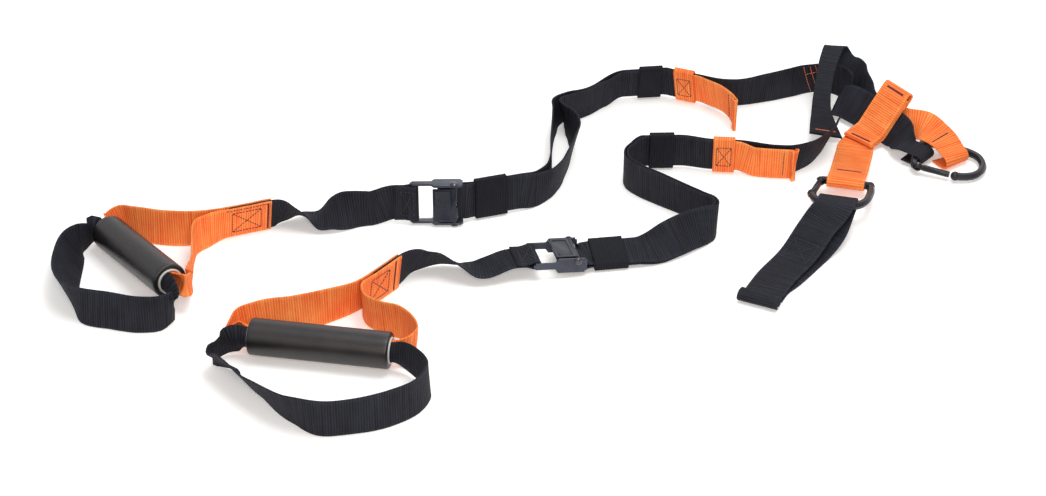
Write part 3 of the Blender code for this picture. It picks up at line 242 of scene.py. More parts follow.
cradle_shares = {
    "a": (
        (-0.421, -0.003, 0.002, -0.1, -0.45, 0.85, 0.86), (-0.431, -0.025, 0, -0.5, -0.35, 0.8),
        (-0.433, -0.052, 0, -0.58, -0.35, 0.72), (-0.43, -0.085, 0, -0.45, -0.45, 0.76),
        (-0.423, -0.112, 0, -0.28, -0.15, 0.94), (-0.41, -0.129, 0, -0.1, 0.1, 0.98),
        (-0.38, -0.139, 0, 0.02, 0.15, 0.98), (-0.35, -0.146, 0, 0, 0.08, 1), (-0.334, -0.144, 0, 0, 0, 1),
        (-0.323, -0.133, 0, 0.08, -0.15, 0.97),
    ),
    "b": (
        (-0.27, -0.189, 0.002, -0.1, -0.35, 0.92, 0.8), (-0.279, -0.201, 0.003, -0.05, -0.66, 0.75, 0.7),
        (-0.266, -0.22, 0, 0.02, -0.76, 0.65), (-0.239, -0.256, 0, 0.1, -0.76, 0.64),
        (-0.203, -0.294, 0, 0.18, -0.45, 0.87), (-0.176, -0.308, 0, 0.15, -0.06, 0.98),
        (-0.148, -0.305, 0, 0.04, -0.02, 1), (-0.114, -0.292, 0, 0.03, 0.05, 1),
        (-0.092, -0.274, 0, -0.05, -0.05, 0.99), (-0.083, -0.25, 0, -0.05, -0.05, 0.99),
    ),
}
keeper_shares = {
    "a_lower": ((-0.048, 0.0545, 0.0015), (-0.005, 0.07, 0.001), (-0.03, 0.03, 1)),
    "a_upper": ((0.109, 0.296, 0.001), (0.15, 0.301, 0.001), (0, -0.3, 0.95)),
    "b_lower": ((0.065, -0.0245, 0.001), (0.11, -0.0175, 0.001), (-0.22, 0.96, 0.12)),
    "b_upper": ((0.124, 0.151, 0.001), (0.158, 0.152, 0.001), (0, -0.16, 0.99)),
}
slider_shares = {
    "a": ((0.163, 0.296, 0.001), (0.185, 0.2865, 0.001), (0, -0.3, 0.95)),
    "b": ((0.193, 0.144, 0.001), (0.216, 0.142, 0.001), (-0.02, -0.18, 0.98)),
}
tail_shares = {
    "a": (
        (0.014, 0.079, 0, 0, 0, 1), (0.027, 0.09, 0, 0, -0.2, 0.98), (0.037, 0.108, 0, 0.02, -0.35, 0.94),
        (0.044, 0.132, 0, 0.08, -0.35, 0.94), (0.051, 0.164, 0, 0.14, -0.3, 0.94),
        (0.054, 0.188, 0, 0.25, -0.2, 0.94), (0.05, 0.209, 0, 0.2, -0.15, 0.96),
        (0.043, 0.225, 0, -0.05, -0.2, 0.97), (0.042, 0.237, 0, -0.2, -0.28, 0.93),
        (0.052, 0.248, 0, -0.15, -0.3, 0.94), (0.068, 0.26, 0, -0.08, -0.3, 0.94),
        (0.088, 0.28, 0, -0.02, -0.3, 0.95),
    ),
    "b": (
        (0.126, -0.014, 0, -0.22, 0.9, 0.34), (0.144, -0.006, 0, -0.2, 0.75, 0.62),
        (0.164, 0.004, 0, -0.1, 0.5, 0.85), (0.179, 0.011, 0, 0, 0.25, 0.96),
        (0.187, 0.017, 0, 0.05, 0.1, 0.99), (0.1895, 0.026, 0, 0.04, -0.05, 0.99),
        (0.187, 0.036, 0, 0.04, -0.2, 0.97), (0.176, 0.048, 0, 0.04, -0.25, 0.96),
        (0.156, 0.065, 0, 0.06, -0.2, 0.97), (0.135, 0.083, 0, 0.08, -0.15, 0.98),
        (0.117, 0.099, 0, 0.05, -0.15, 0.98), (0.107, 0.113, 0, 0, -0.12, 0.99),
        (0.1055, 0.127, 0, 0, -0.12, 0.99), (0.111, 0.14, 0, 0, -0.15, 0.99),
    ),
}
main_branch_shares = {
    "a": (
        (0.013, 0.083, 0, 0, 0.03, 1), (0.023, 0.095, 0, 0, 0.05, 1), (0.0275, 0.115, 0, 0, 0, 1),
        (0.0285, 0.15, 0, 0, 0, 1), (0.03, 0.19, 0, 0.02, 0, 1), (0.032, 0.218, 0, -0.05, -0.1, 0.99),
        (0.0345, 0.2375, 0, -0.18, -0.25, 0.94), (0.048, 0.253, 0, -0.15, -0.3, 0.94),
        (0.066, 0.263, 0, -0.08, -0.3, 0.94),
    ),
    "b": (),
}
main_end_shares = {
    "a": (
        (0.207, 0.283, 0.001, 0.02, -0.25, 0.96), (0.229, 0.283, 0, 0.03, -0.25, 0.96),
        (0.26, 0.293, 0, -0.1, -0.2, 0.97), (0.285, 0.303, 0.001, -0.2, -0.2, 0.95),
        (0.306, 0.312, 0.001, -0.2, -0.2, 0.95), (0.322, 0.314, 0.001, -0.05, -0.15, 0.98),
        (0.3377, 0.3087, 0.001, 0.05, -0.05, 1), (0.346, 0.296, 0.001, 0.05, 0, 1),
        (0.3495, 0.284, 0.001, 0.06, 0, 1),
    ),
    "b": (
        (0.256, 0.14, 0, -0.05, -0.18, 0.98), (0.274, 0.141, 0, -0.08, -0.25, 0.96),
        (0.291, 0.151, 0, -0.06, -0.42, 0.91), (0.308, 0.172, 0.001, 0, -0.6, 0.8),
        (0.3178, 0.1925, 0.001, 0.15, -0.62, 0.74), (0.32, 0.2035, 0.002, 0.25, -0.64, 0.7),
    ),
}
sling_dive_shares = (
    (0.333, 0.2715, 0.015, 0.66, 0.48, 0.55), (0.342, 0.264, 0.0185, 0.56, 0.42, 0.7),
    (0.3505, 0.2515, 0.02, 0.53, 0.36, 0.76),
)
sling_end_shares = (
    (0.39, 0.1895, 0.0178, 0.55, 0.48, 0.68, 0.9), (0.3908, 0.182, 0.0166, 0.58, 0.62, 0.5, 0.76),
)
sling_bar_share = 0.72
sling_heading_shares = (0.788, -0.616, 0)
bight_shares = (
    (0.3606, 0.2505, 0.0203, 0.51, 0.35, 0.78), (0.362, 0.266, 0.0235, 0.36, 0.26, 0.89),
    (0.3615, 0.285, 0.026, 0.15, 0.15, 0.97), (0.3585, 0.301, 0.0275, 0.4, 0.1, 0.9, 0.9),
    (0.351, 0.314, 0.03, 0.78, 0.05, 0.6, 0.85), (0.345, 0.324, 0.0325, 0.98, -0.1, 0.15, 0.76),
    (0.341, 0.332, 0.037, 0.98, -0.12, 0, 0.68), (0.338, 0.3345, 0.044, 0.98, -0.12, 0, 0.62),
    (0.335, 0.329, 0.05, 0.98, -0.12, 0, 0.58), (0.328, 0.309, 0.049, 0.97, -0.12, 0, 0.54),
    (0.322, 0.288, 0.044, 0.97, -0.15, 0, 0.5), (0.3175, 0.268, 0.037, 0.97, -0.1, 0, 0.48),
    (0.314, 0.25, 0.029, 0.96, 0.15, 0, 0.5), (0.3128, 0.236, 0.0225, 0.85, 0.45, 0, 0.58),
    (0.3135, 0.222, 0.016, 0.74, 0.66, 0, 0.78), (0.315, 0.2053, 0.0094, 0.7, 0.71, 0, 1),
)
bundle_shares = ((0.363, 0.2357, 0.0193), (0.3847, 0.2027, 0.0187), (0.55, -0.835, 0), (0.5, 0.32, 0.74))
pack_shares = (0.374, 0.219, 0.019)
pack_levels = (0.024, 0.036, 0.03, 0.006, -0.012)
pack_foot_shares = ((0.356, 0.207, 0.0062, 0.56, -0.83, 0), (0.349, 0.201, 0.004, 0.6, -0.8, 0))
anchor_lead_shares = ((0.342, 0.18, 0.0024, 0.8, -0.6, 0), (0.337, 0.158, 0.006, 0.9, -0.42, 0))
anchor_loop_shares = ((0.398, 0.208, 0.003, 0.45, 0.3, 0.82),)
anchor_over_shares = (
    (0.4135, 0.1985, 0.025, 0.62, 0.42, 0.55, 0.9), (0.425, 0.186, 0.0235, 0.72, 0.58, 0.3, 0.85),
    (0.4335, 0.1745, 0.0205, 0.76, 0.62, 0.18, 0.82), (0.44, 0.1635, 0.015, 0.8, 0.6, 0.02, 0.82),
    (0.4435, 0.157, 0.0125, 0.8, 0.6, 0, 0.82), (0.4447, 0.1548, 0.008, 0.8, 0.6, 0, 0.82),
    (0.4435, 0.157, 0.0035, 0.8, 0.6, 0, 0.82), (0.4395, 0.164, 0.0016, 0.8, 0.6, 0, 0.82),
    (0.4345, 0.1735, 0.0014, 0.8, 0.6, 0, 0.82),
)
door_strap_shares = (
    (0.2259, -0.0899, 0.0045, 0.895, -0.445, 0), (0.24, -0.0612, 0.004, 0.89, -0.46, 0),
    (0.266, -0.021, 0.006, 0.87, -0.49, 0), (0.287, 0.009, 0.02, 0.92, -0.38, 0),
)
door_return_shares = (
    (0.295, 0.008, 0.011, 0.93, -0.36, 0), (0.279, -0.012, 0.0015, 0.88, -0.47, 0),
    (0.248, -0.056, 0, 0.88, -0.48, 0), (0.2335, -0.0745, 0.0005, 0.895, -0.445, 0),
    (0.2259, -0.0899, 0.0008, 0.895, -0.445, 0),
)
roll_shares = ((0.2215, -0.0985, 0), (0.44, 0.9, 0), (0.9, -0.44, 0))
pull_tab_shares = {
    "a": (
        (0.197, 0.276, 0.004, 0, -0.35, 0.93), (0.211, 0.262, 0.004, 0, -0.38, 0.92),
        (0.22, 0.246, 0.002, 0.03, -0.38, 0.92), (0.223, 0.233, 0.001, 0.05, -0.38, 0.92),
    ),
    "b": (
        (0.235, 0.1345, 0, -0.04, -0.18, 0.98), (0.256, 0.131, 0, -0.05, -0.18, 0.98),
        (0.274, 0.13, 0, -0.08, -0.2, 0.97),
    ),
}
carabiner_shares = {
    "1": ((0.4055, 0.1665, 0.01), (0.946, -0.316, -0.07), (0, 0, 1)),
    "2": ((0.324, 0.101, 0.014), (-0.255, -0.951, 0.174), (0, 0, 1)),
}


def unit(rows):
    """Each row, or one vector, divided by its own length."""
    return rows / np.linalg.norm(rows, axis=-1, keepdims=True)


def squared(across, along):
    """A direction turned square to a unit vector."""
    return (across - along * across.dot(along)).normalized()


def run_along(points):
    """How far along its route each point lies."""
    return np.concatenate([[0.0], np.cumsum(np.linalg.norm(np.diff(points, axis=0), axis=1))])


def at(distance, run, rows):
    """The first three columns of the rows, read at a distance along the route."""
    return np.array([np.interp(distance, run, rows[:, column]) for column in range(3)])


def place(x_share, y_share, lift_share):
    """A place in the layout, counted from the middle of the layout."""
    x = (x_share - layout_centre_shares[0]) * layout_span
    y = (y_share - layout_centre_shares[1]) * layout_span
    return Vector((x, y, lift_share * layout_span))


def stop(middle, across, curl=0.0, share=1.0, rigid=0.0):
    """One stop of a route: middle, width's direction, curl, share of width, and if it is straight."""
    return [*middle, *across, curl, share, rigid]


def width_of(row):
    """A row's direction of the width, and its share of the width."""
    return Vector(row[3:6]).normalized(), row[6] if len(row) > 6 else 1.0


def free(rows, layers_below=0):
    """Stops of the webbing where it lies free: each rests on its lower edge, lifted by its lift."""
    stops = []
    for row in rows:
        across, share = width_of(row)
        level = sqrt(max(0.0, 1 - across.z ** 2))
        middle = place(*row[:3])
        middle.z += abs(across.z) * half_web * share
        middle.z += level * (webbing_thickness / 2 + layers_below * layer_pitch)
        stops.append(stop(middle, across, share=share))
    return stops


def aloft(rows):
    """Stops whose lift is the height of the webbing's own middle."""
    return [stop(place(*row[:3]), width_of(row)[0], share=width_of(row)[1]) for row in rows]


def linked(rows):
    """For each piece between two stops, if it is straight: both ends carry the same mark above zero."""
    marks = rows[:, 8]
    return (marks[:-1] > 0.5) & (abs(marks[1:] - marks[:-1]) < 0.5)


def smooth(stops, step=strap_step):
    """Stops joined by a smooth curve, cut so that no piece is longer than the step.

    At share f between two stops the next one weighs three f squared less two f cubed. The slope
    at a stop is the mean of the slopes beside it, in which the nearer neighbour weighs more.
    """
    rows = np.array(stops, dtype=float)
    gaps = np.linalg.norm(np.diff(rows[:, :3], axis=0), axis=1)
    slopes = np.diff(rows, axis=0) / gaps[:, None]
    straight = linked(rows)
    tangents = np.empty_like(rows)
    last = len(rows) - 1
    for i in range(len(rows)):
        if i > 0 and (i == last or straight[i - 1]):
            tangents[i] = slopes[i - 1]
        elif i == 0 or straight[i]:
            tangents[i] = slopes[i]
        else:
            tangents[i] = (slopes[i - 1] * gaps[i] + slopes[i] * gaps[i - 1]) / (gaps[i - 1] + gaps[i])
    result = [rows[0]]
    for i in range(last):
        count = 1 if straight[i] else max(1, ceil(gaps[i] / step))
        for k in range(1, count + 1):
            f = k / count
            blend = 3 * f ** 2 - 2 * f ** 3
            leaving = (f ** 3 - 2 * f ** 2 + f) * gaps[i] * tangents[i]
            arriving = (f ** 3 - f ** 2) * gaps[i] * tangents[i + 1]
            result.append((1 - blend) * rows[i] + leaving + (blend * rows[i + 1] + arriving))
            result[-1][8] = 0.0
        result[-1] = rows[i + 1]
    return np.array(result)


def frames(stops, closed=False):
    """At each stop: the width's direction squared to the route, and the face's direction.

    The route's direction is that of the two unit steps beside the stop, added. The width's is
    the stop's own, less its part along the route, and the face's is square to both.
    """
    points = stops[:, :3]
    if closed:
        ahead = np.roll(points[:-1], -1, axis=0) - np.roll(points[:-1], 1, axis=0)
        ahead = np.vstack((ahead, ahead[:1]))
    else:
        steps = unit(np.diff(points, axis=0))
        ahead = np.vstack((steps[:1], steps[:-1] + steps[1:], steps[-1:]))
        straight = linked(stops)
        for i in range(1, len(stops) - 1):
            if straight[i - 1] != straight[i]:
                ahead[i] = steps[i - 1] if straight[i - 1] else steps[i]
    ahead = unit(ahead)
    across = unit(stops[:, 3:6] - (stops[:, 3:6] * ahead).sum(axis=1)[:, None] * ahead)
    return across, np.cross(across, ahead)


def settled(stops):
    """The same route, lifted wherever its lower edge would go into the floor."""
    across, face = frames(stops)
    low = stops[:, 2] - abs(across[:, 2]) * half_web * stops[:, 7] - abs(face[:, 2]) * webbing_thickness / 2
    result = stops.copy()
    result[:, 2] += np.maximum(0.0, floor_gap - low)
    return result


def marked(stops):
    """The same stops, to be joined by straight pieces."""
    result = stops.copy()
    result[:, 8] = 1.0
    return result


def shifted(stops, distance):
    """The same route moved off along its face, for a second layer of webbing.

    Each stop moves by the distance divided by the cosine of half the bend's angle there.
    """
    across, face = frames(stops)
    steps = unit(np.diff(stops[:, :3], axis=0))
    mitre = np.ones(len(stops))
    mitre[1:-1] = np.sqrt((1 + (steps[:-1] * steps[1:]).sum(axis=1)) / 2)
    moved = marked(stops)
    moved[:, :3] += face * (distance / np.maximum(mitre, least_mitre))[:, None]
    moved[:, 3:6] = across
    return moved


def joined(*routes):
    """Routes one after the other."""
    return np.vstack([np.array(route, dtype=float) for route in routes if len(route)])


def feed(tree, slot, value):
    """Give a socket a plain value, or a link from a Value or another socket."""
    value = getattr(value, "socket", value)
    if isinstance(value, bpy.types.NodeSocket):
        tree.links.new(value, slot)
    else:
        slot.default_value = value


class Value:
    """A shader socket that can be added, multiplied and compared like a number."""

    def __init__(self, tree, socket):
        self.tree = tree
        self.socket = socket

    def math(self, operation, *others):
        node = self.tree.nodes.new("ShaderNodeMath")
        node.operation = operation
        for slot, value in zip(node.inputs, (self, *others)):
            feed(self.tree, slot, value)
        return Value(self.tree, node.outputs[0])

    def __add__(self, other):
        return self.math("ADD", other)

    def __mul__(self, other):
        return self.math("MULTIPLY", other)

    def __sub__(self, other):
        return self.math("SUBTRACT", other)

    def ramp(self, start, end):
        """Zero below the start, one above the end, and a smooth step between."""
        node = self.tree.nodes.new("ShaderNodeMapRange")
        node.interpolation_type = "SMOOTHSTEP"
        for name, value in (("From Min", start), ("From Max", end), ("Value", self)):
            feed(self.tree, node.inputs[name], value)
        return Value(self.tree, node.outputs["Result"])


class Look:
    """A Principled material with procedural colour, roughness and bump."""

    def __init__(self, name, roughness=0.6, metallic=0.0, specular=0.5, coat=0.0):
        self.material = bpy.data.materials.new(name)
        self.material.use_nodes = True
        self.tree = self.material.node_tree
        self.coordinates = self.tree.nodes.new("ShaderNodeTexCoord")
        self.give("Roughness", roughness)
        self.give("Metallic", metallic)
        self.give("Specular IOR Level", specular)
        self.give("Coat Weight", coat)

    def give(self, name, value):
        """Set or feed one socket of the shader."""
        feed(self.tree, self.tree.nodes["Principled BSDF"].inputs[name], value)

    def node(self, kind, outlet, **settings):
        """One node: settings set or feed its sockets, or else set its own properties."""
        made = self.tree.nodes.new(kind)
        for key, value in settings.items():
            name = key.replace("_", " ").title()
            if name in made.inputs:
                feed(self.tree, made.inputs[name], value)
            else:
                setattr(made, key, value)
        return Value(self.tree, made.outputs[outlet])

    def noise(self, scale, detail=3.0, roughness=0.55):
        return self.node("ShaderNodeTexNoise", "Fac", vector=self.coordinates.outputs["Object"],
                         scale=scale, detail=detail, roughness=roughness)

    def along_across(self):
        """The webbing's own coordinates in metres: along it and across it."""
        split = self.tree.nodes.new("ShaderNodeSeparateXYZ")
        feed(self.tree, split.inputs[0], self.node("ShaderNodeUVMap", "UV", uv_map="Weave"))
        return Value(self.tree, split.outputs[0]), Value(self.tree, split.outputs[1])

    def streaks(self, along, across):
        """Uneven ribs: noise stretched across the webbing."""
        spot = self.node("ShaderNodeCombineXYZ", 0, x=along * streaks_per_metre, y=across * waves_per_metre)
        return self.node("ShaderNodeTexNoise", "Fac", vector=spot, scale=1.0, detail=1.5)

    def colours(self, factor, dark, light):
        """The dark colour where the factor is zero, and the light one where it is one."""
        node = self.tree.nodes.new("ShaderNodeMix")
        node.data_type = "RGBA"
        feed(self.tree, node.inputs[0], factor)
        for slot, colour in zip(node.inputs[6:8], (dark, light)):
            slot.default_value = (*colour, 1.0)
        self.give("Base Color", node.outputs[2])

    def bump(self, height, distance, strength=1.0):
        made = self.node("ShaderNodeBump", "Normal", height=height, distance=distance, strength=strength)
        self.give("Normal", made)


def webbing_look(name, dark, light, unevenness=0.60):
    """Woven webbing: fine ribs across it, yarns along it, a tighter edge and slight wear. Painted light and
    shade as well: the ribs' crests are painted lighter, and for the black and orange webbing the dark and
    light colours are its shaded and lit tones.
    """
    look = Look(name, 0.72, specular=0.12)
    along, across = look.along_across()
    rib = (along * (2 * pi / rib_pitch)).math("SINE")
    phase = (along * (pi / rib_pitch)).math("FLOOR")
    yarn = (across * (2 * pi / yarn_pitch) + phase * pi).math("SINE")
    grain = look.noise(900.0, 2.0)
    cloud = look.noise(38.0, 3.0)
    streak = look.streaks(along, across)
    rim = across.math("ABSOLUTE").ramp(rim_start, rim_end)
    # Slight wear mixed with painted light and shade: the rib term paints the crests lighter and the troughs
    # darker, and the whole mix runs between a shaded and a lit tone.
    wear_and_painted_light = rib * 0.15 + yarn * 0.05 + grain * 0.30 + cloud * 0.45
    tone = wear_and_painted_light + streak * unevenness - (unevenness - 0.16) / 2 + rim * 0.10
    look.colours(tone.ramp(0.0, 1.0), dark, light)
    look.give("Roughness", cloud * 0.15 + 0.62)
    height = rib * 0.4 + yarn * 0.16 + grain * 0.5 + streak * (1.5 * unevenness) + rim * 0.35
    look.bump(height, 0.00040, 0.9)
    return look.material


def foam_look(name, dark, light):
    """Closed-cell foam: fine pits and a soft broad sheen."""
    look = Look(name, 0.78)
    pits = look.noise(1500.0, 3.0, 0.6)
    cloud = look.noise(60.0, 3.0)
    look.colours((pits * 0.5 + cloud * 0.5).ramp(0.25, 0.75), dark, light)
    look.give("Roughness", cloud * 0.10 + 0.27)
    look.bump(pits + cloud * 0.6, 0.00025, 0.8)
    return look.material


def metal_look(name, dark, light, roughness, metallic, specular=0.5, coat=0.0):
    """Cast, coated or drawn metal with fine grain and slight wear."""
    look = Look(name, roughness, metallic, specular, coat)
    grain = look.noise(420.0, 4.0, 0.6)
    cloud = look.noise(45.0, 2.0)
    look.colours((grain * 0.4 + cloud * 0.6).ramp(0.3, 0.7), dark, light)
    look.give("Roughness", cloud * 0.12 + (roughness - 0.06))
    look.bump(grain, 0.00008, 0.6)
    return look.material


def thread_look(name, dark, light):
    """Sewing thread: twisted strands."""
    look = Look(name, 0.7)
    grain = look.noise(2600.0, 2.0)
    look.colours(grain.ramp(0.3, 0.7), dark, light)
    look.bump(grain, 0.0001, 0.8)
    return look.material


def plastic_look(name, dark, light):
    """Plain moulded plastic with a faint haze."""
    look = Look(name, 0.45)
    cloud = look.noise(120.0, 3.0)
    look.colours(cloud.ramp(0.3, 0.7), dark, light)
    look.give("Roughness", cloud * 0.15 + 0.35)
    look.bump(cloud, 0.00008, 0.5)
    return look.material


# For each look: how it is made, its name, its dark and its light colour, then for webbing its
# unevenness, and for metal its roughness, metallic value, specular value and coat
look_rows = {
    # Painted shade and painted light: the black and the orange webbing's dark and light colours are shaded
    # and lit tones of one dye, mixed by the weave's mottle.
    "black": (webbing_look, "black_webbing", (0.0040, 0.0038, 0.0048), (0.0310, 0.0335, 0.0480)),
    "orange": (webbing_look, "orange_webbing", (0.80, 0.070, 0.012), (1.0, 0.410, 0.115)),
    "keeper": (webbing_look, "black_keeper", (0.0050, 0.0052, 0.0075), (0.0165, 0.0180, 0.0250), 0.10),
    "foam": (foam_look, "foam_grip", (0.0070, 0.0056, 0.0062), (0.0190, 0.0155, 0.0160)),
    # Painted shade: the tube's white plastic is given a mid grey, the shade its ends have where they sit in
    # the foam's mouths.
    "tube": (plastic_look, "tube_white", (0.50, 0.50, 0.49), (0.60, 0.60, 0.59)),
    "buckle": (metal_look, "buckle_metal", (0.024, 0.028, 0.042), (0.046, 0.053, 0.078), 0.32, 0.3, 0.4, 0.1),
    # Painted shade: the cam lever is the buckle's metal made darker, as if in the shade of its recess.
    "lever": (metal_look, "lever_metal", (0.008, 0.0095, 0.017), (0.02, 0.024, 0.04), 0.28, 0.25, 0.3, 0.1),
    "rivet": (metal_look, "rivet_metal", (0.05, 0.05, 0.06), (0.09, 0.09, 0.11), 0.16, 0.8, 0.5, 0.4),
    "steel": (metal_look, "bare_steel", (0.50, 0.50, 0.52), (0.66, 0.66, 0.67), 0.28, 1.0),
    "carabiner": (metal_look, "carabiner_coat", (0.008, 0.008, 0.011), (0.018, 0.018, 0.024), 0.34, 0,
                  0.25, 0.05),
    "navy_thread": (thread_look, "navy_thread", (0.010, 0.006, 0.018), (0.036, 0.024, 0.052)),
    "salmon_thread": (thread_look, "salmon_thread", (0.55, 0.12, 0.05), (0.85, 0.25, 0.11)),
    "black_thread": (thread_look, "black_thread", (0.010, 0.010, 0.013), (0.032, 0.033, 0.042)),
}
looks = {name: make(*values) for name, (make, *values) in look_rows.items()}
routes = {}


def placed(name, points, faces, look, body):
    """A smooth mesh in the scene, which rides on a body of the part."""
    mesh = bpy.data.meshes.new(name)
    mesh.from_pydata(points, [], faces)
    mesh.polygons.foreach_set("use_smooth", [True] * len(mesh.polygons))
    mesh.update()
    mesh.materials.append(looks[look])
    made = bpy.data.objects.new(name, mesh)
    bpy.context.scene.collection.objects.link(made)
    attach(made, body)
    return made


def surface(name, points, rows, columns, look, body, wrap_rows=False, weave=None):
    """A closed grid: point (i, j) is row i of the route and column j round the section.

    Quad (i, j) joins points (i, j), (i, j+1), (i+1, j+1), (i+1, j). Columns wrap round.
    Both ends are closed by one flat face unless the rows wrap round as well.
    """
    i, j = np.meshgrid(np.arange(rows if wrap_rows else rows - 1), np.arange(columns), indexing="ij")
    after = (i + 1) % rows
    right = (j + 1) % columns
    quads = np.stack([i * columns + j, i * columns + right, after * columns + right, after * columns + j], -1)
    faces = quads.reshape(-1, 4).tolist()
    if not wrap_rows:
        faces.append(list(range(columns))[::-1])
        faces.append([(rows - 1) * columns + k for k in range(columns)])
    made = placed(name, points.tolist(), faces, look, body)
    if weave is not None:
        layer = made.data.uv_layers.new(name="Weave")
        corners = np.empty(len(made.data.loops), dtype=np.int32)
        made.data.loops.foreach_get("vertex_index", corners)
        layer.data.foreach_set("uv", weave[corners].ravel())
    return made


def body_with(node):
    """The body that a node of the part belongs to."""
    return nodes[node]["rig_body"]


def section(width, curl):
    """The webbing's outline, as places across it, off its face, and its own width's place.

    The angle runs from minus the curl to the curl. The place across is the radius times its sine,
    the lift is the radius times one less its cosine, and the radius is the half width divided by
    the curl. Both faces lie half the thickness off that line, and half circles close its edges.
    """
    half = webbing_thickness / 2
    sides = np.linspace(-1.0, 1.0, side_steps + 1) * (1.0 - half / width)
    angle = sides * curl
    if abs(curl) > least_curl:
        radius = width / curl
        middle = np.stack([radius * np.sin(angle), radius * (1 - np.cos(angle))], -1)
    else:
        middle = np.stack([sides * width, sides * 0.0], -1)
    normal = np.stack([-np.sin(angle), np.cos(angle)], -1)
    bead = half * (1.0 - edge_bead * (abs(sides) < bead_start_share))
    ends = []
    turn = np.linspace(0.0, pi, edge_steps + 2)[1:-1, None]
    for last, sign in ((-1, 1.0), (0, -1.0)):
        ahead = np.array([normal[last][1], -normal[last][0]]) * sign
        ends.append(middle[last] + half * (normal[last] * sign * np.cos(turn) + ahead * np.sin(turn)))
    top = middle + normal * bead[:, None]
    bottom = middle - normal * bead[:, None]
    ring = np.vstack([top, ends[0], bottom[::-1], ends[1]])
    edge = np.full(edge_steps, width)
    return ring, np.concatenate([sides * width, edge, sides[::-1] * width, -edge])


def ribbon(name, stops, colour, closed=False):
    """A strap's own surface: section() swept along its route, in place of the part's solid.

    A point is the route's middle, plus its place across times the width's direction, plus its
    lift times the face's direction.
    """
    if not closed:
        stops = settled(stops)
    across, face = frames(stops, closed)
    run = run_along(stops[:, :3])
    routes[name] = (stops, across, face, run)
    rows = stops[:-1] if closed else stops
    points = []
    weave = []
    for i, row in enumerate(rows):
        ring, sideways = section(half_web * row[7], row[6])
        points.append(row[:3] + across[i] * ring[:, :1] + face[i] * ring[:, 1:])
        along = np.full(len(ring), run[i])
        if closed:
            along, sideways = sideways, along % band_weave_length
        weave.append(np.stack([along, sideways], -1))
    made = surface(name + "_web", np.vstack(points), len(rows), len(points[0]), colour, body_with(name),
                   closed, np.vstack(weave))
    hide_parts(name)
    return made


def stitches(name, look, body, lines):
    """Sewn stitches: short round threads laid end to end along each line of places.

    A stitch's rings are evenly spaced, with a fifth of a space left at each end. Over its length
    an arch rises from zero to one and falls again, as the sine of half a turn. A ring's radius
    grows with the arch from the thin end's to the stitch's own, and the arch less the sunk share
    lifts its middle, in radii.
    """
    points = []
    faces = []
    shares = (np.arange(stitch_rings) + stitch_end_space) / (stitch_rings - 1 + 2 * stitch_end_space)
    angles = 2 * pi * np.arange(stitch_sides) / stitch_sides
    for line, normal in lines:
        line = np.array(line, dtype=float)
        normal = np.broadcast_to(np.array(normal, dtype=float), line.shape)
        run = run_along(line)
        count = max(1, int(run[-1] / (stitch_length + stitch_gap)))
        pitch = run[-1] / count
        for k in range(count):
            ends = (k * pitch + stitch_gap / 2, (k + 1) * pitch - stitch_gap / 2)
            start = len(points)
            head, tail = (at(end, run, line) for end in ends)
            up = unit(at(sum(ends) / 2, run, normal))
            aside = np.cross(unit(tail - head), up)
            for f in shares:
                arch = sin(pi * f)
                thick = stitch_radius * (stitch_thin_end + (1 - stitch_thin_end) * arch)
                middle = head + (tail - head) * f + up * stitch_radius * (arch - stitch_sunk_share)
                points += [middle + aside * thick * cos(angle) + up * thick * sin(angle) for angle in angles]
            for q in range(stitch_rings - 1):
                for w in range(stitch_sides):
                    a = start + q * stitch_sides + w
                    b = start + q * stitch_sides + (w + 1) % stitch_sides
                    faces.append((a, b, b + stitch_sides, a + stitch_sides))
            faces.append(tuple(start + w for w in range(stitch_sides))[::-1])
            faces.append(tuple(range(len(points) - stitch_sides, len(points))))
    return placed(name, [tuple(p) for p in points], faces, look, body)


def on_web(name, spots, side):
    """Places on a strap's face from distances along it and places across it, with the face's direction."""
    stops, across, face, run = routes[name]
    places = []
    normals = []
    dense = []
    for first, second in zip(np.array(spots), np.array(spots[1:])):
        count = max(2, int(np.hypot(*(second - first)) / seam_step))
        dense += [first + (second - first) * k / count for k in range(count)]
    for u, v in (*dense, spots[-1]):
        out = at(u, run, face) * side
        places.append(at(u, run, stops) + at(u, run, across) * v + out * webbing_thickness / 2)
        normals.append(out)
    return np.array(places), np.array(normals)


def box_cross(low, high):
    """A sewn box with a cross in it, as lines between two opposite corners."""
    (start, left), (end, right) = low, high
    box = ((start, left), (end, left), (end, right), (start, right), (start, left))
    return (box, (low, high), ((start, right), (end, left)))


def buckle_axes(side):
    """A buckle's middle, the way along it, the direction of its face, and of its width."""
    middle, along, across = buckle_shares[side]
    along = Vector(along).normalized()
    across = squared(Vector(across), along)
    return place(*middle), along, across.cross(along), across


def in_buckle(side, along_places, flip=1.0, rigid=1.0):
    """Straight stops from places in a buckle, each along it and off its middle."""
    middle, along, face, across = buckle_axes(side)
    return [
        stop(middle + along * spot[0] + face * spot[1], across * flip, rigid=rigid)
        for spot in along_places
    ]


def arc(middle, radius, start, end, count):
    """Places on an arc, given by angles in turns from the first axis to the second.

    A place is the middle, plus the radius times the angle's cosine along the first axis and
    times its sine along the second.
    """
    places = []
    for k in range(count + 1):
        angle = 2 * pi * (start + (end - start) * k / count)
        places.append((middle[0] + radius * cos(angle), middle[1] + radius * sin(angle)))
    return places


def band_stretch(table, key):
    """The straight stretch of two layers under a band: its ends, and its three directions."""
    start, end, across = table[key]
    low = place(*start)
    high = place(*end)
    across = Vector(across).normalized()
    level = sqrt(max(0.0, 1 - across.z ** 2))
    rise = abs(across.z) * (half_web + band_gap + webbing_thickness)
    rise += level * (half_pitch + webbing_thickness * 1.5 + band_gap)
    low.z += rise
    high.z += rise
    along = (high - low).normalized()
    across = squared(across, along)
    return low, high, along, across.cross(along), across


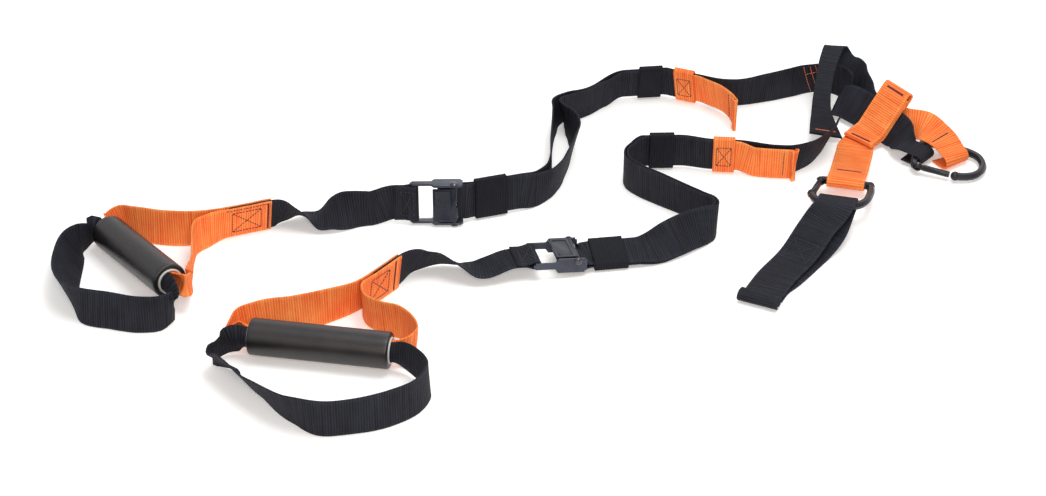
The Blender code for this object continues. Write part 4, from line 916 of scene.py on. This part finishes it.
def band_layer(table, key, shift, share=1.0, order=0.0):
    """Two straight stops of one layer under a band."""
    low, high, along, face, across = band_stretch(table, key)
    ends = (low, low + (high - low) * share)
    return [stop(end + face * shift, across, rigid=3.0 + order) for end in ends]


def band(name, table, key, offset, length, colour):
    """A closed band round the two layers of a strap: a rectangle with quarter circles at its corners."""
    low, high, along, face, across = band_stretch(table, key)
    middle = low + along * (offset + length / 2)
    reach_across = half_web + band_gap + webbing_thickness / 2
    reach_face = half_pitch + webbing_thickness + band_gap
    corner = webbing_thickness / 2 + band_corner_radius
    stops = []
    for quarter, signs in enumerate(((1, 1), (-1, 1), (-1, -1), (1, -1))):
        centre = (signs[0] * (reach_across - corner), signs[1] * (reach_face - corner))
        for out, lift in arc(centre, corner, quarter / 4, (quarter + 1) / 4, 3):
            stops.append(stop(middle + across * out + face * lift, along, share=length / webbing_width))
    stops.append(stops[0])
    return ribbon(name, np.array(stops), colour, closed=True)


def main_strap(side):
    """One adjustable strap: from its sewn end at the slider down to the buckle and back to the knot."""
    exit_place = buckle_half + fit_gap
    lower = side + "_lower"
    upper = side + "_upper"
    flat = settled(smooth(joined(
        band_layer(keeper_shares, lower, -half_pitch),
        free(tail_shares[side], free_layer_pitch / layer_pitch if side == "b" else 0),
        band_layer(keeper_shares, upper, -half_pitch),
    )))
    tail = smooth(joined(
        in_buckle(side, [(turn_place, front_layer_offset), (exit_place, front_layer_offset)], rigid=2.0),
        band_layer(keeper_shares, lower, -half_pitch),
        marked(flat[2:-2]),
        band_layer(keeper_shares, upper, -half_pitch),
        band_layer(slider_shares, side, -half_pitch, share=tail_end_share, order=1.0),
    ))
    back = base_bar_offset + turn_radius
    head = in_buckle(side, [(turn_place, back), (exit_place, back)], rigid=2.0)
    middle = free(main_branch_shares[side]) if side == "a" else shifted(flat, free_layer_pitch)[2:-2]
    main = smooth(joined(
        head,
        band_layer(keeper_shares, lower, half_pitch),
        middle,
        band_layer(keeper_shares, upper, half_pitch),
        band_layer(slider_shares, side, half_pitch, order=1.0),
        free(main_end_shares[side]),
    ))
    bend = arc((turn_place, base_bar_offset), turn_radius, 0.75, 0.25, 6)[1:-1]
    turn = in_buckle(side, bend)
    return ribbon("main_strap_" + side, joined(tail[::-1], turn, main), "black")


def pull_tab(side):
    """The loose end that is pulled to shorten the strap; its end is folded back for a hem."""
    low, high, along, face, across = band_stretch(slider_shares, side)
    first = low + (high - low) * tab_start_share - face * half_pitch
    second = high - face * half_pitch
    start = [stop(first, across, rigid=1.0), stop(second, across, rigid=1.0)]
    out = smooth(joined(start, free(pull_tab_shares[side])))
    hem = shifted(out, -layer_pitch * 1.2)[-2:]
    across_end, face_end = frames(out)
    ahead = Vector(np.cross(face_end[-1], across_end[-1]))
    bend = fold(Vector(out[-1, :3]), Vector(hem[-1, :3]), ahead, Vector(across_end[-1]))
    return ribbon("pull_tab_" + side, joined(out, bend, hem[::-1]), "orange")


def grip_axes(side):
    """A grip's far end, near end, direction, its right hand side and its upper side."""
    far, near = (place(*row) for row in grip_shares[side])
    along = (near - far).normalized()
    right = along.cross(Vector((0.0, 0.0, 1.0))).normalized()
    return far, near, along, right, right.cross(along)


def mouth(side, near_end, back, distance, curl, share, rigid=0.0):
    """One stop of a web in the grip's tube or just outside it, on its back or its front side."""
    far, near, along, right, up = grip_axes(side)
    sign = -1.0 if back else 1.0
    reach = grip_length / 2 + tube_overhang + distance
    axis = (far + near) / 2 + along * (reach if near_end else -reach)
    return stop(axis + right * sign * web_curl_radius, up, -sign * curl, share, rigid)


def through_mouth(side, near_end, back, share, inner=()):
    """A web's stops at one end of a grip, from the outside in."""
    inside = [
        mouth(side, near_end, back, distance, web_curl_angle, web_width_share, rigid=2.0)
        for distance in (mouth_lip, mouth_in, *inner)
    ]
    return [mouth(side, near_end, back, mouth_out, mouth_curl, share), *inside]


def handle_loop(side):
    """The orange loop: sewn on the lower strap, through the grip's tube and back."""
    lower_all, lower_count = lower_route(side)
    route = smooth(joined(
        shifted(lower_all, -layer_pitch)[lower_count - 1::-1],
        free(handle_front_shares[side]),
        through_mouth(side, True, True, loop_mouth_share),
        through_mouth(side, False, True, loop_mouth_share)[::-1],
        free(handle_back_shares[side]),
        shifted(lower_all, layer_pitch)[:lower_count],
    ))
    return ribbon("handle_loop_" + side, route, "orange")


def foot_cradle(side):
    """The black web for the foot: its two ends meet in the middle of the grip's tube."""
    middle = (fit_gap - grip_length / 2 - tube_overhang,)
    route = smooth(joined(
        through_mouth(side, False, False, cradle_mouth_share, middle)[::-1],
        free(cradle_shares[side]),
        through_mouth(side, True, False, cradle_mouth_share, middle),
    ))
    return ribbon("foot_cradle_" + side, route, "black")


def lower_route(side):
    """The lower strap's route, and how many of its first stops the orange loop's ends lie on."""
    rows = free(lower_strap_shares[side])
    loop = arc((end_bar_place, 0.0), end_loop_radius, end_loop_turns, -end_loop_turns, 7)
    lap = [(near_lap, -half_pitch), (far_lap, -half_pitch)]
    lead = [(far_lap, half_pitch), (near_lap, half_pitch)]
    local = in_buckle(side, lead + loop + lap, flip=-1.0)
    for spot in local:
        spot[8] = 0.0
    route = smooth(joined(rows, local))
    last = int(np.argmin(np.linalg.norm(route[:, :3] - np.array(rows[2][:3]), axis=1)))
    return route, last + 1


def lower_strap(side):
    """The short strap from the handle's patch to the loop round the buckle's end bar."""
    return ribbon("lower_strap_" + side, lower_route(side)[0], "black")


def bundle_axes():
    """The sling's doubled stretch: its two ends, its direction, its width's direction, its face."""
    first, second, along, across = bundle_shares
    first = place(*first)
    second = place(*second)
    along = (second - first).normalized()
    across = squared(Vector(across), along)
    return first, second, along, across, across.cross(along)


def half_turn(count):
    """The cosine and sine of each step of a half turn."""
    return [(cos(pi * k / count), sin(pi * k / count)) for k in range(count + 1)]


def pocket(middle, ahead, across, up, reach, back, share=1.0):
    """Stops of a flat loop round a bar: in above it, round the front and back below it."""
    front = middle + ahead * reach
    rear = middle - ahead * back
    radius = bar_loop_radius
    bend = [front + up * radius * lift + ahead * radius * out for lift, out in half_turn(6)]
    places = [rear + up * radius] + bend + [rear - up * radius]
    return [stop(spot, across, share=share, rigid=2.0) for spot in places]


def sling():
    """The black sling: from its loop round the first carabiner's bar into the straps' meeting point."""
    first, second, along, across, face = bundle_axes()
    front = [stop(end - face * half_pitch, across, rigid=3.0) for end in (first, second)]
    origin, u, v, normal = carabiner_axes("1")
    ahead = squared(Vector(sling_heading_shares), normal)
    middle = origin + u * sling_bar_reach[2]
    bar = pocket(middle, ahead, normal.cross(ahead), normal, *sling_bar_reach[:2], sling_bar_share)
    route = smooth(joined(aloft(sling_dive_shares), front, aloft(sling_end_shares), bar), sling_step)
    return ribbon("anchor_sling", route, "black")


def sling_bight():
    """The sling's other half: behind the first, round the meeting point, over the far strap and down."""
    first, second, along, across, face = bundle_axes()
    back = [stop(end + face * half_pitch, across, rigid=2.0) for end in (second, first)]
    route = smooth(joined(back, aloft(bight_shares)), sling_step)
    return ribbon("sling_bight", route, "black")


def fold(start, end, ahead, across):
    """The stops of a flat fold between two layers."""
    middle = (start + end) / 2
    reach = (start - end) / 2
    bend = half_turn(6)[1:-1]
    return [stop(middle + ahead * reach.length * out + reach * back, across) for back, out in bend]


def anchor_strap():
    """The orange strap: folded flat on the sling, then down and round the second carabiner's bar."""
    first, second, along, across, face = bundle_axes()
    origin = place(*pack_shares)
    back = -half_pitch - layer_pitch
    start, top, inner_top, middle_level, foot_level = (share * layout_span for share in pack_levels)
    inner = [
        stop(origin + across * up + face * back, along, rigid=2.0)
        for up in (inner_top, middle_level, foot_level)
    ]
    base = smooth(joined(inner, aloft(pack_foot_shares)))
    second_layer = shifted(base, -layer_pitch)
    front_layer = shifted(base, -2 * layer_pitch)
    widths = Vector(frames(base)[0][-1])
    ahead = Vector(base[-1, :3] - base[-2, :3]).normalized()
    front_top = Vector(front_layer[0, :3]) + across * (top - inner_top)
    behind_top = front_top + face * (3 * layer_pitch)
    behind = [stop(behind_top + across * (start - top), along), stop(behind_top, along)]
    upper_fold = fold(behind_top, front_top, across, along)
    foot_fold = fold(Vector(front_layer[-1, :3]), Vector(second_layer[-1, :3]), ahead, widths)
    inner_fold = fold(Vector(second_layer[0, :3]), Vector(base[0, :3]), across, along)
    tight = marked(joined(
        behind, upper_fold, [stop(front_top, along)], front_layer, foot_fold, second_layer[::-1],
        inner_fold, base,
    ))
    eye, u, v, normal = carabiner_axes("2")
    bar = pocket(eye, v, u * -1.0, normal, *anchor_bar_reach)
    route = smooth(joined(tight, aloft(anchor_lead_shares), bar), strap_step)
    return ribbon("anchor_strap", route, "orange")


def anchor_loop():
    """The orange end loop: from behind the sling, over the first carabiner's long side and back under it."""
    first, second, along, across, face = bundle_axes()
    lead = [stop(first + along * reach + face * end_loop_offset, across)
            for reach in end_loop_reaches]
    route = smooth(joined(lead, free(anchor_loop_shares), aloft(anchor_over_shares)), loop_step)
    return ribbon("anchor_loop", route, "orange")


def carabiner_axes(key):
    """A carabiner's bar middle, then across it, along it to its crown, and its face."""
    middle, along, up = carabiner_shares[key]
    along = Vector(along).normalized()
    up = squared(Vector(up), along)
    return place(*middle), along.cross(up), along, up


def door_strap():
    """The door strap: from its roll, round the second carabiner's crown and back."""
    origin, u, v, normal = carabiner_axes("2")
    middle = origin + v * door_bar_place
    bar = pocket(middle, v * -1.0, u * -1.0, normal, *door_bar_reach)
    route = smooth(joined(free(door_strap_shares), bar, free(door_return_shares)), strap_step)
    return ribbon("door_strap", route, "black")


def revolved(name, node, profile, steps, look):
    """A turned piece about a grip's axis: point (i, k) is the profile's place k, turned i even steps."""
    far, near, along, right, up = grip_axes(node[-1])
    middle = np.array((far + near) / 2)
    radius, height = np.array(profile).T
    angle = np.linspace(0.0, 2 * pi, steps, endpoint=False)
    ring = np.cos(angle)[:, None] * np.array(right) + np.sin(angle)[:, None] * np.array(up)
    points = middle + ring[:, None, :] * radius[None, :, None] + np.array(along) * height[None, :, None]
    points = points.reshape(-1, 3)
    made = surface(name, points, steps, len(profile), look, body_with(node), wrap_rows=True)
    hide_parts(node)
    return made


def rounded_ring(inner, outer, half, edge, count=5, rows=40):
    """The outline of a hollow turned piece: straight sides, and a quarter circle at each rim."""
    turn = np.linspace(0.0, pi / 2, count + 1)
    spots = [(inner, -half)]
    spots += [(outer - edge + edge * sin(a), -half + edge - edge * cos(a)) for a in turn]
    spots += [(outer, -half + edge + (2 * half - 2 * edge) * k / rows) for k in range(1, rows)]
    spots += [(outer - edge + edge * cos(a), half - edge + edge * sin(a)) for a in turn]
    spots += [(inner, half)]
    return spots


def grip(side):
    """The foam grip and the plastic tube in it."""
    half = grip_length / 2
    outer = foam_diameter / 2
    inner = outer - foam_wall
    foam_profile = rounded_ring(inner, outer, half, foam_edge_radius)
    foam = revolved("foam_" + side, "grip_foam_" + side, foam_profile, foam_sides, "foam")
    tube_outer = inner - fit_gap
    tube_inner = tube_outer - tube_wall
    tube_half = half + tube_overhang
    tube_profile = rounded_ring(tube_inner, tube_outer, tube_half, tube_wall * tube_edge_share, 3, 8)
    revolved("tube_" + side, "grip_tube_" + side, tube_profile, tube_sides, "tube")


def rolled_end():
    """The door roll: webbing wound in a flattened spiral.

    A place is the middle, plus the wide radius times the angle's cosine along the roll, plus the
    tall radius times its sine upward. Both radii fall by nearly a layer's pitch each turn.
    """
    middle, along, across = roll_shares
    along = Vector(along).normalized()
    across = Vector(across).normalized()
    upright = Vector((0.0, 0.0, 1.0))
    middle = place(*middle) + upright * (roll_thickness + fit_gap) / 2
    wide = roll_depth / 2 - webbing_thickness / 2
    tall = (roll_thickness - fit_gap) / 2 - webbing_thickness / 2
    rows = []
    for k in range(roll_pieces + 1):
        f = k / roll_pieces
        angle = 2 * pi * roll_turns * (1 - f) + roll_start_angle
        inward = layer_pitch * roll_tightness * roll_turns * f
        spot = middle + along * (wide - inward) * cos(angle) + upright * (tall - inward) * sin(angle)
        rows.append(stop(spot, across, share=roll_width / webbing_width))
    ribbon("door_roll", np.array(rows), "black")


# The hard parts' names start so, with the look and the slot of each
finishes = (
    ("buckle_frame", "buckle", "buckle_grey"),
    ("buckle_pin", "rivet", "buckle_grey"),
    ("buckle_cam", "lever", "buckle_grey"),
    ("buckle_spring", "steel", "steel_grey"),
    ("carabiner_body", "carabiner", "carabiner_black"),
    ("gate_pin", "steel", "steel_grey"),
    ("gate_1", "carabiner", "carabiner_black"),
    ("gate_2", "carabiner", "carabiner_black"),
    ("captive_wire", "steel", "steel_grey"),
)


def plain_part(node, look):
    """A hard part keeps its own solid, with softened edges and a finish."""
    polygons = node.data.polygons
    node.data.materials.clear()
    node.data.materials.append(looks[look])
    polygons.foreach_set("material_index", [0] * len(polygons))
    weld = node.modifiers.new("Weld", "WELD")
    weld.merge_threshold = weld_distance
    if "spring" not in node.name and "wire" not in node.name:
        soften = node.modifiers.new("Edges", "BEVEL")
        soften.width = soft_edge_width
        soften.segments = 2
        soften.limit_method = "ANGLE"
        soften.angle_limit = soft_edge_angle
        soften.harden_normals = False
    polygons.foreach_set("use_smooth", [True] * len(polygons))
    node.data.set_sharp_from_angle(angle=sharp_angle)


def bar(u, low, high):
    """A line across a strap, at one distance along it."""
    return ((u, low), (u, high))


# Which way the face points that carries a seam
to_viewer = (0.0, -1.0, 0.6)
from_viewer = (0.0, 1.0, -0.2)
upward = (0.0, -0.2, 1.0)
# Sewn boxes: strap, thread, start and end along it, half width, face, and if from its far end
seam_boxes = (
    ("handle_loop_a", "navy", 0.0105, 0.0395, 0.0125, to_viewer, False),
    ("handle_loop_a", "navy", 0.0105, 0.0395, 0.0125, from_viewer, True),
    ("handle_loop_b", "navy", 0.0175, 0.0440, 0.0130, to_viewer, False),
    ("handle_loop_b", "navy", 0.0175, 0.0440, 0.0130, from_viewer, True),
    ("lower_strap_a", "black", 0.0060, 0.0200, 0.0130, to_viewer, True),
    ("lower_strap_b", "black", 0.0060, 0.0200, 0.0130, to_viewer, True),
    ("door_strap", "black", 0.0680, 0.0950, 0.0135, upward, False),
)
# Sewn lines: strap, thread, ends along and across it, face, half width of a bar, and if from its far end
seam_lines = (
    ("handle_loop_a", "navy", bar(0.0035, -0.0165, 0.0165), to_viewer, 0.0011, False),
    ("handle_loop_a", "navy", ((0.0035, 0.0168), (0.0470, 0.0168)), to_viewer, 0, False),
    ("handle_loop_a", "navy", bar(0.0035, -0.0165, 0.0165), from_viewer, 0.0011, True),
    ("handle_loop_b", "navy", bar(0.0085, -0.0165, 0.0165), to_viewer, 0.0011, False),
    ("handle_loop_b", "navy", bar(0.0035, -0.0165, 0.0165), from_viewer, 0.0011, True),
    ("main_strap_a", "salmon", ((0.9960, 0.0170), (1.0080, -0.0175)), to_viewer, 0, False),
    ("main_strap_a", "salmon", ((1.0040, 0.0170), (1.0145, -0.0150)), to_viewer, 0, False),
    ("main_strap_a", "salmon", ((1.0100, 0.0178), (1.0180, -0.0030)), to_viewer, 0, False),
    ("main_strap_a", "salmon", ((1.0000, 0.0070), (1.0150, 0.0088)), to_viewer, 0, False),
    ("sling_bight", "salmon", bar(0.2885, -0.0110, 0.0110), to_viewer, 0.0008, False),
    ("pull_tab_a", "navy", bar(0.0585, -0.0150, 0.0150), to_viewer, 0, False),
    ("pull_tab_b", "navy", bar(0.0590, -0.0150, 0.0150), to_viewer, 0, False),
    ("anchor_strap", "navy", bar(0.0245, -0.0120, 0.0120), to_viewer, 0.0011, False),
    ("anchor_strap", "navy", bar(0.0875, -0.0110, 0.0130), to_viewer, 0.0011, False),
    ("anchor_strap", "navy", bar(0.3090, -0.0120, 0.0120), upward, 0.0011, False),
    ("anchor_loop", "navy", bar(0.0855, -0.0120, 0.0080), upward, 0.0009, False),
    ("door_strap", "black", bar(0.0120, -0.0150, 0.0150), upward, 0.0009, False),
)
slider_seam_inset_share = 0.16
slider_seam_reach_share = 0.62


def outward(name, u, toward):
    """Plus or minus one: the side of a strap's face that points the given way."""
    stops, across, face, run = routes[name]
    return 1.0 if float(at(u, run, face) @ np.array(toward)) > 0 else -1.0


def sewn_lines(spots, swing):
    """One plain line, or with a swing a dense bar: short stitches side by side across the line."""
    if not swing:
        return [spots]
    first, last = (np.array(spot) for spot in spots)
    span = np.linalg.norm(last - first)
    ahead = (last - first) / span
    aside = np.array([-ahead[1], ahead[0]]) * swing
    count = int(span / bar_pitch)
    middles = [first + ahead * span * k / count for k in range(count + 1)]
    return [(tuple(m - aside), tuple(m + aside + ahead * bar_pitch)) for m in middles]


def seams():
    """All sewing: one object of stitches for each strap and thread."""
    sewn = {}

    def sew(name, thread, lines, toward, middle):
        """Add lines to a strap's stitches, on the side of its face at the middle distance."""
        side = outward(name, middle, toward)
        for line in lines:
            sewn.setdefault((name, thread), []).append(on_web(name, line, side))

    for name, thread, start, end, half, toward, from_end in seam_boxes:
        if from_end:
            total = routes[name][3][-1]
            start, end = total - end, total - start
        sew(name, thread, box_cross((start, -half), (end, half)), toward, (start + end) / 2)
    for name, thread, spots, toward, swing, from_end in seam_lines:
        if from_end:
            spots = [(routes[name][3][-1] - u, v) for u, v in spots]
        sew(name, thread, sewn_lines(spots, swing), toward, spots[0][0])
    for (name, thread), lines in sewn.items():
        stitches("sewing_" + name + "_" + thread, thread + "_thread", body_with(name), lines)
    inset = slider_length * slider_seam_inset_share
    reach = half_web * slider_seam_reach_share
    for side in ("a", "b"):
        low, high, along, face, across = band_stretch(slider_shares, side)
        lines = []
        for sign in (-1.0, 1.0):
            outside = low + face * sign * (half_pitch + webbing_thickness * 1.5 + band_gap)
            for line in box_cross((inset, -reach), (slider_length - inset, reach)):
                lines.append(([outside + along * a + across * b for a, b in line], face * sign))
        stitches("sewing_slider_" + side, "navy_thread", body_with("slider_" + side), lines)


def build():
    """Every piece, in the order that the routes need."""
    for side in ("a", "b"):
        for piece in (handle_loop, foot_cradle, lower_strap, grip, main_strap, pull_tab):
            piece(side)
        band("slider_" + side, slider_shares, side, 0.0, slider_length, "orange")
    for key, (offset, length) in keeper_places.items():
        band("keeper_" + key, keeper_shares, key, offset * layout_span, length, "keeper")
    for piece in (sling, sling_bight, anchor_strap, anchor_loop, door_strap, rolled_end):
        piece()
    for start, look, slot in finishes:
        for name, node in nodes.items():
            if name.startswith(start):
                plain_part(node, look)
    seams()


build()

# Studio: the lamps are name, place, size, power and colour, and look at the layout's middle
floor_reach = 30.0
floor_drop = 0.0002
floor_glow = 0.26
surround_strength = 0.54
lamps = (
    ("key", (0.3, -0.25, 1.9), 1.0, 20.0, (1.0, 1.0, 1.0)),
    ("fill", (0.05, -1.90, 1.25), 0.45, 16.0, (1.0, 0.90, 0.78)),
    ("rim", (0.3, 1.5, 1.3), 1.4, 7.0, (1.0, 1.0, 1.0)),
)
# Camera
camera_lift = 32.0
camera_distance = 2.4
focal_pixels = 2470.0
image_width = 1046.0
sensor_width = 36.0


def wired(tree, kind, *sources):
    """A node whose first inputs take these sockets."""
    made = tree.nodes.new(kind)
    for slot, source in zip(made.inputs, sources):
        tree.links.new(source, slot)
    return made


def aimed(name, data, spot, ahead):
    """A lamp or a camera in the scene, at a place and looking ahead."""
    made = bpy.data.objects.new(name, data)
    made.location = spot
    made.rotation_euler = ahead.to_track_quat("-Z", "Y").to_euler()
    bpy.context.scene.collection.objects.link(made)
    return made


def floor_look():
    """Pale matt paint that glows a little."""
    paint = bpy.data.materials.new("floor")
    paint.use_nodes = True
    tree = paint.node_tree
    shader = tree.nodes["Principled BSDF"]
    shader.inputs["Base Color"].default_value = (0.92, 0.92, 0.92, 1.0)
    shader.inputs["Roughness"].default_value = 0.9
    shader.inputs["Specular IOR Level"].default_value = 0.1
    glow = tree.nodes.new("ShaderNodeEmission")
    glow.inputs["Strength"].default_value = floor_glow
    total = wired(tree, "ShaderNodeAddShader", shader.outputs[0], glow.outputs[0])
    tree.links.new(total.outputs[0], tree.nodes["Material Output"].inputs["Surface"])
    return paint


def surround():
    """A soft white surround, which is pure white to the camera and in reflections."""
    world = bpy.data.worlds.new("surround")
    bpy.context.scene.world = world
    world.use_nodes = True
    tree = world.node_tree
    background = tree.nodes["Background"]
    background.inputs["Color"].default_value = (1.0, 1.0, 1.0, 1.0)
    background.inputs["Strength"].default_value = surround_strength
    shown = tree.nodes.new("ShaderNodeBackground")
    shown.inputs["Strength"].default_value = 1.0
    path = tree.nodes.new("ShaderNodeLightPath").outputs
    rays = wired(tree, "ShaderNodeMath", path["Is Camera Ray"], path["Is Glossy Ray"])
    more = wired(tree, "ShaderNodeMath", rays.outputs[0], path["Is Transmission Ray"])
    rays.operation = more.operation = "MAXIMUM"
    blend = wired(tree, "ShaderNodeMixShader", more.outputs[0], background.outputs[0], shown.outputs[0])
    tree.links.new(blend.outputs[0], tree.nodes["World Output"].inputs["Surface"])


def studio():
    """A pale floor, a white surround and soft plain lamps."""
    mesh = bpy.data.meshes.new("floor")
    corners = [(x * floor_reach, y * floor_reach, 0) for x, y in ((-1, -1), (1, -1), (1, 1), (-1, 1))]
    mesh.from_pydata(corners, [], [(0, 1, 2, 3)])
    mesh.materials.append(floor_look())
    floor = bpy.data.objects.new("floor", mesh)
    floor.location.z = -floor_drop
    bpy.context.scene.collection.objects.link(floor)
    surround()
    for name, spot, size, power, colour in lamps:
        lamp = bpy.data.lights.new(name, "AREA")
        lamp.size = size
        lamp.energy = power
        lamp.color = colour
        aimed(name, lamp, spot, -Vector(spot))


def camera():
    """The photo's view: the ground point in the image's middle, seen from 32 degrees above."""
    seen = Vector((-layout_centre_shares[0], -layout_centre_shares[1], 0.0)) * layout_span
    lift = camera_lift * pi / 180
    back = Vector((0.0, -cos(lift), sin(lift)))
    lens = bpy.data.cameras.new("camera")
    lens.sensor_width = sensor_width
    lens.lens = sensor_width * focal_pixels / image_width
    lens.clip_start = 0.05
    lens.clip_end = 200.0
    bpy.context.scene.camera = aimed("camera", lens, seen + back * camera_distance, -back)
    bpy.context.scene.view_settings.view_transform = "Standard"


studio()
camera()
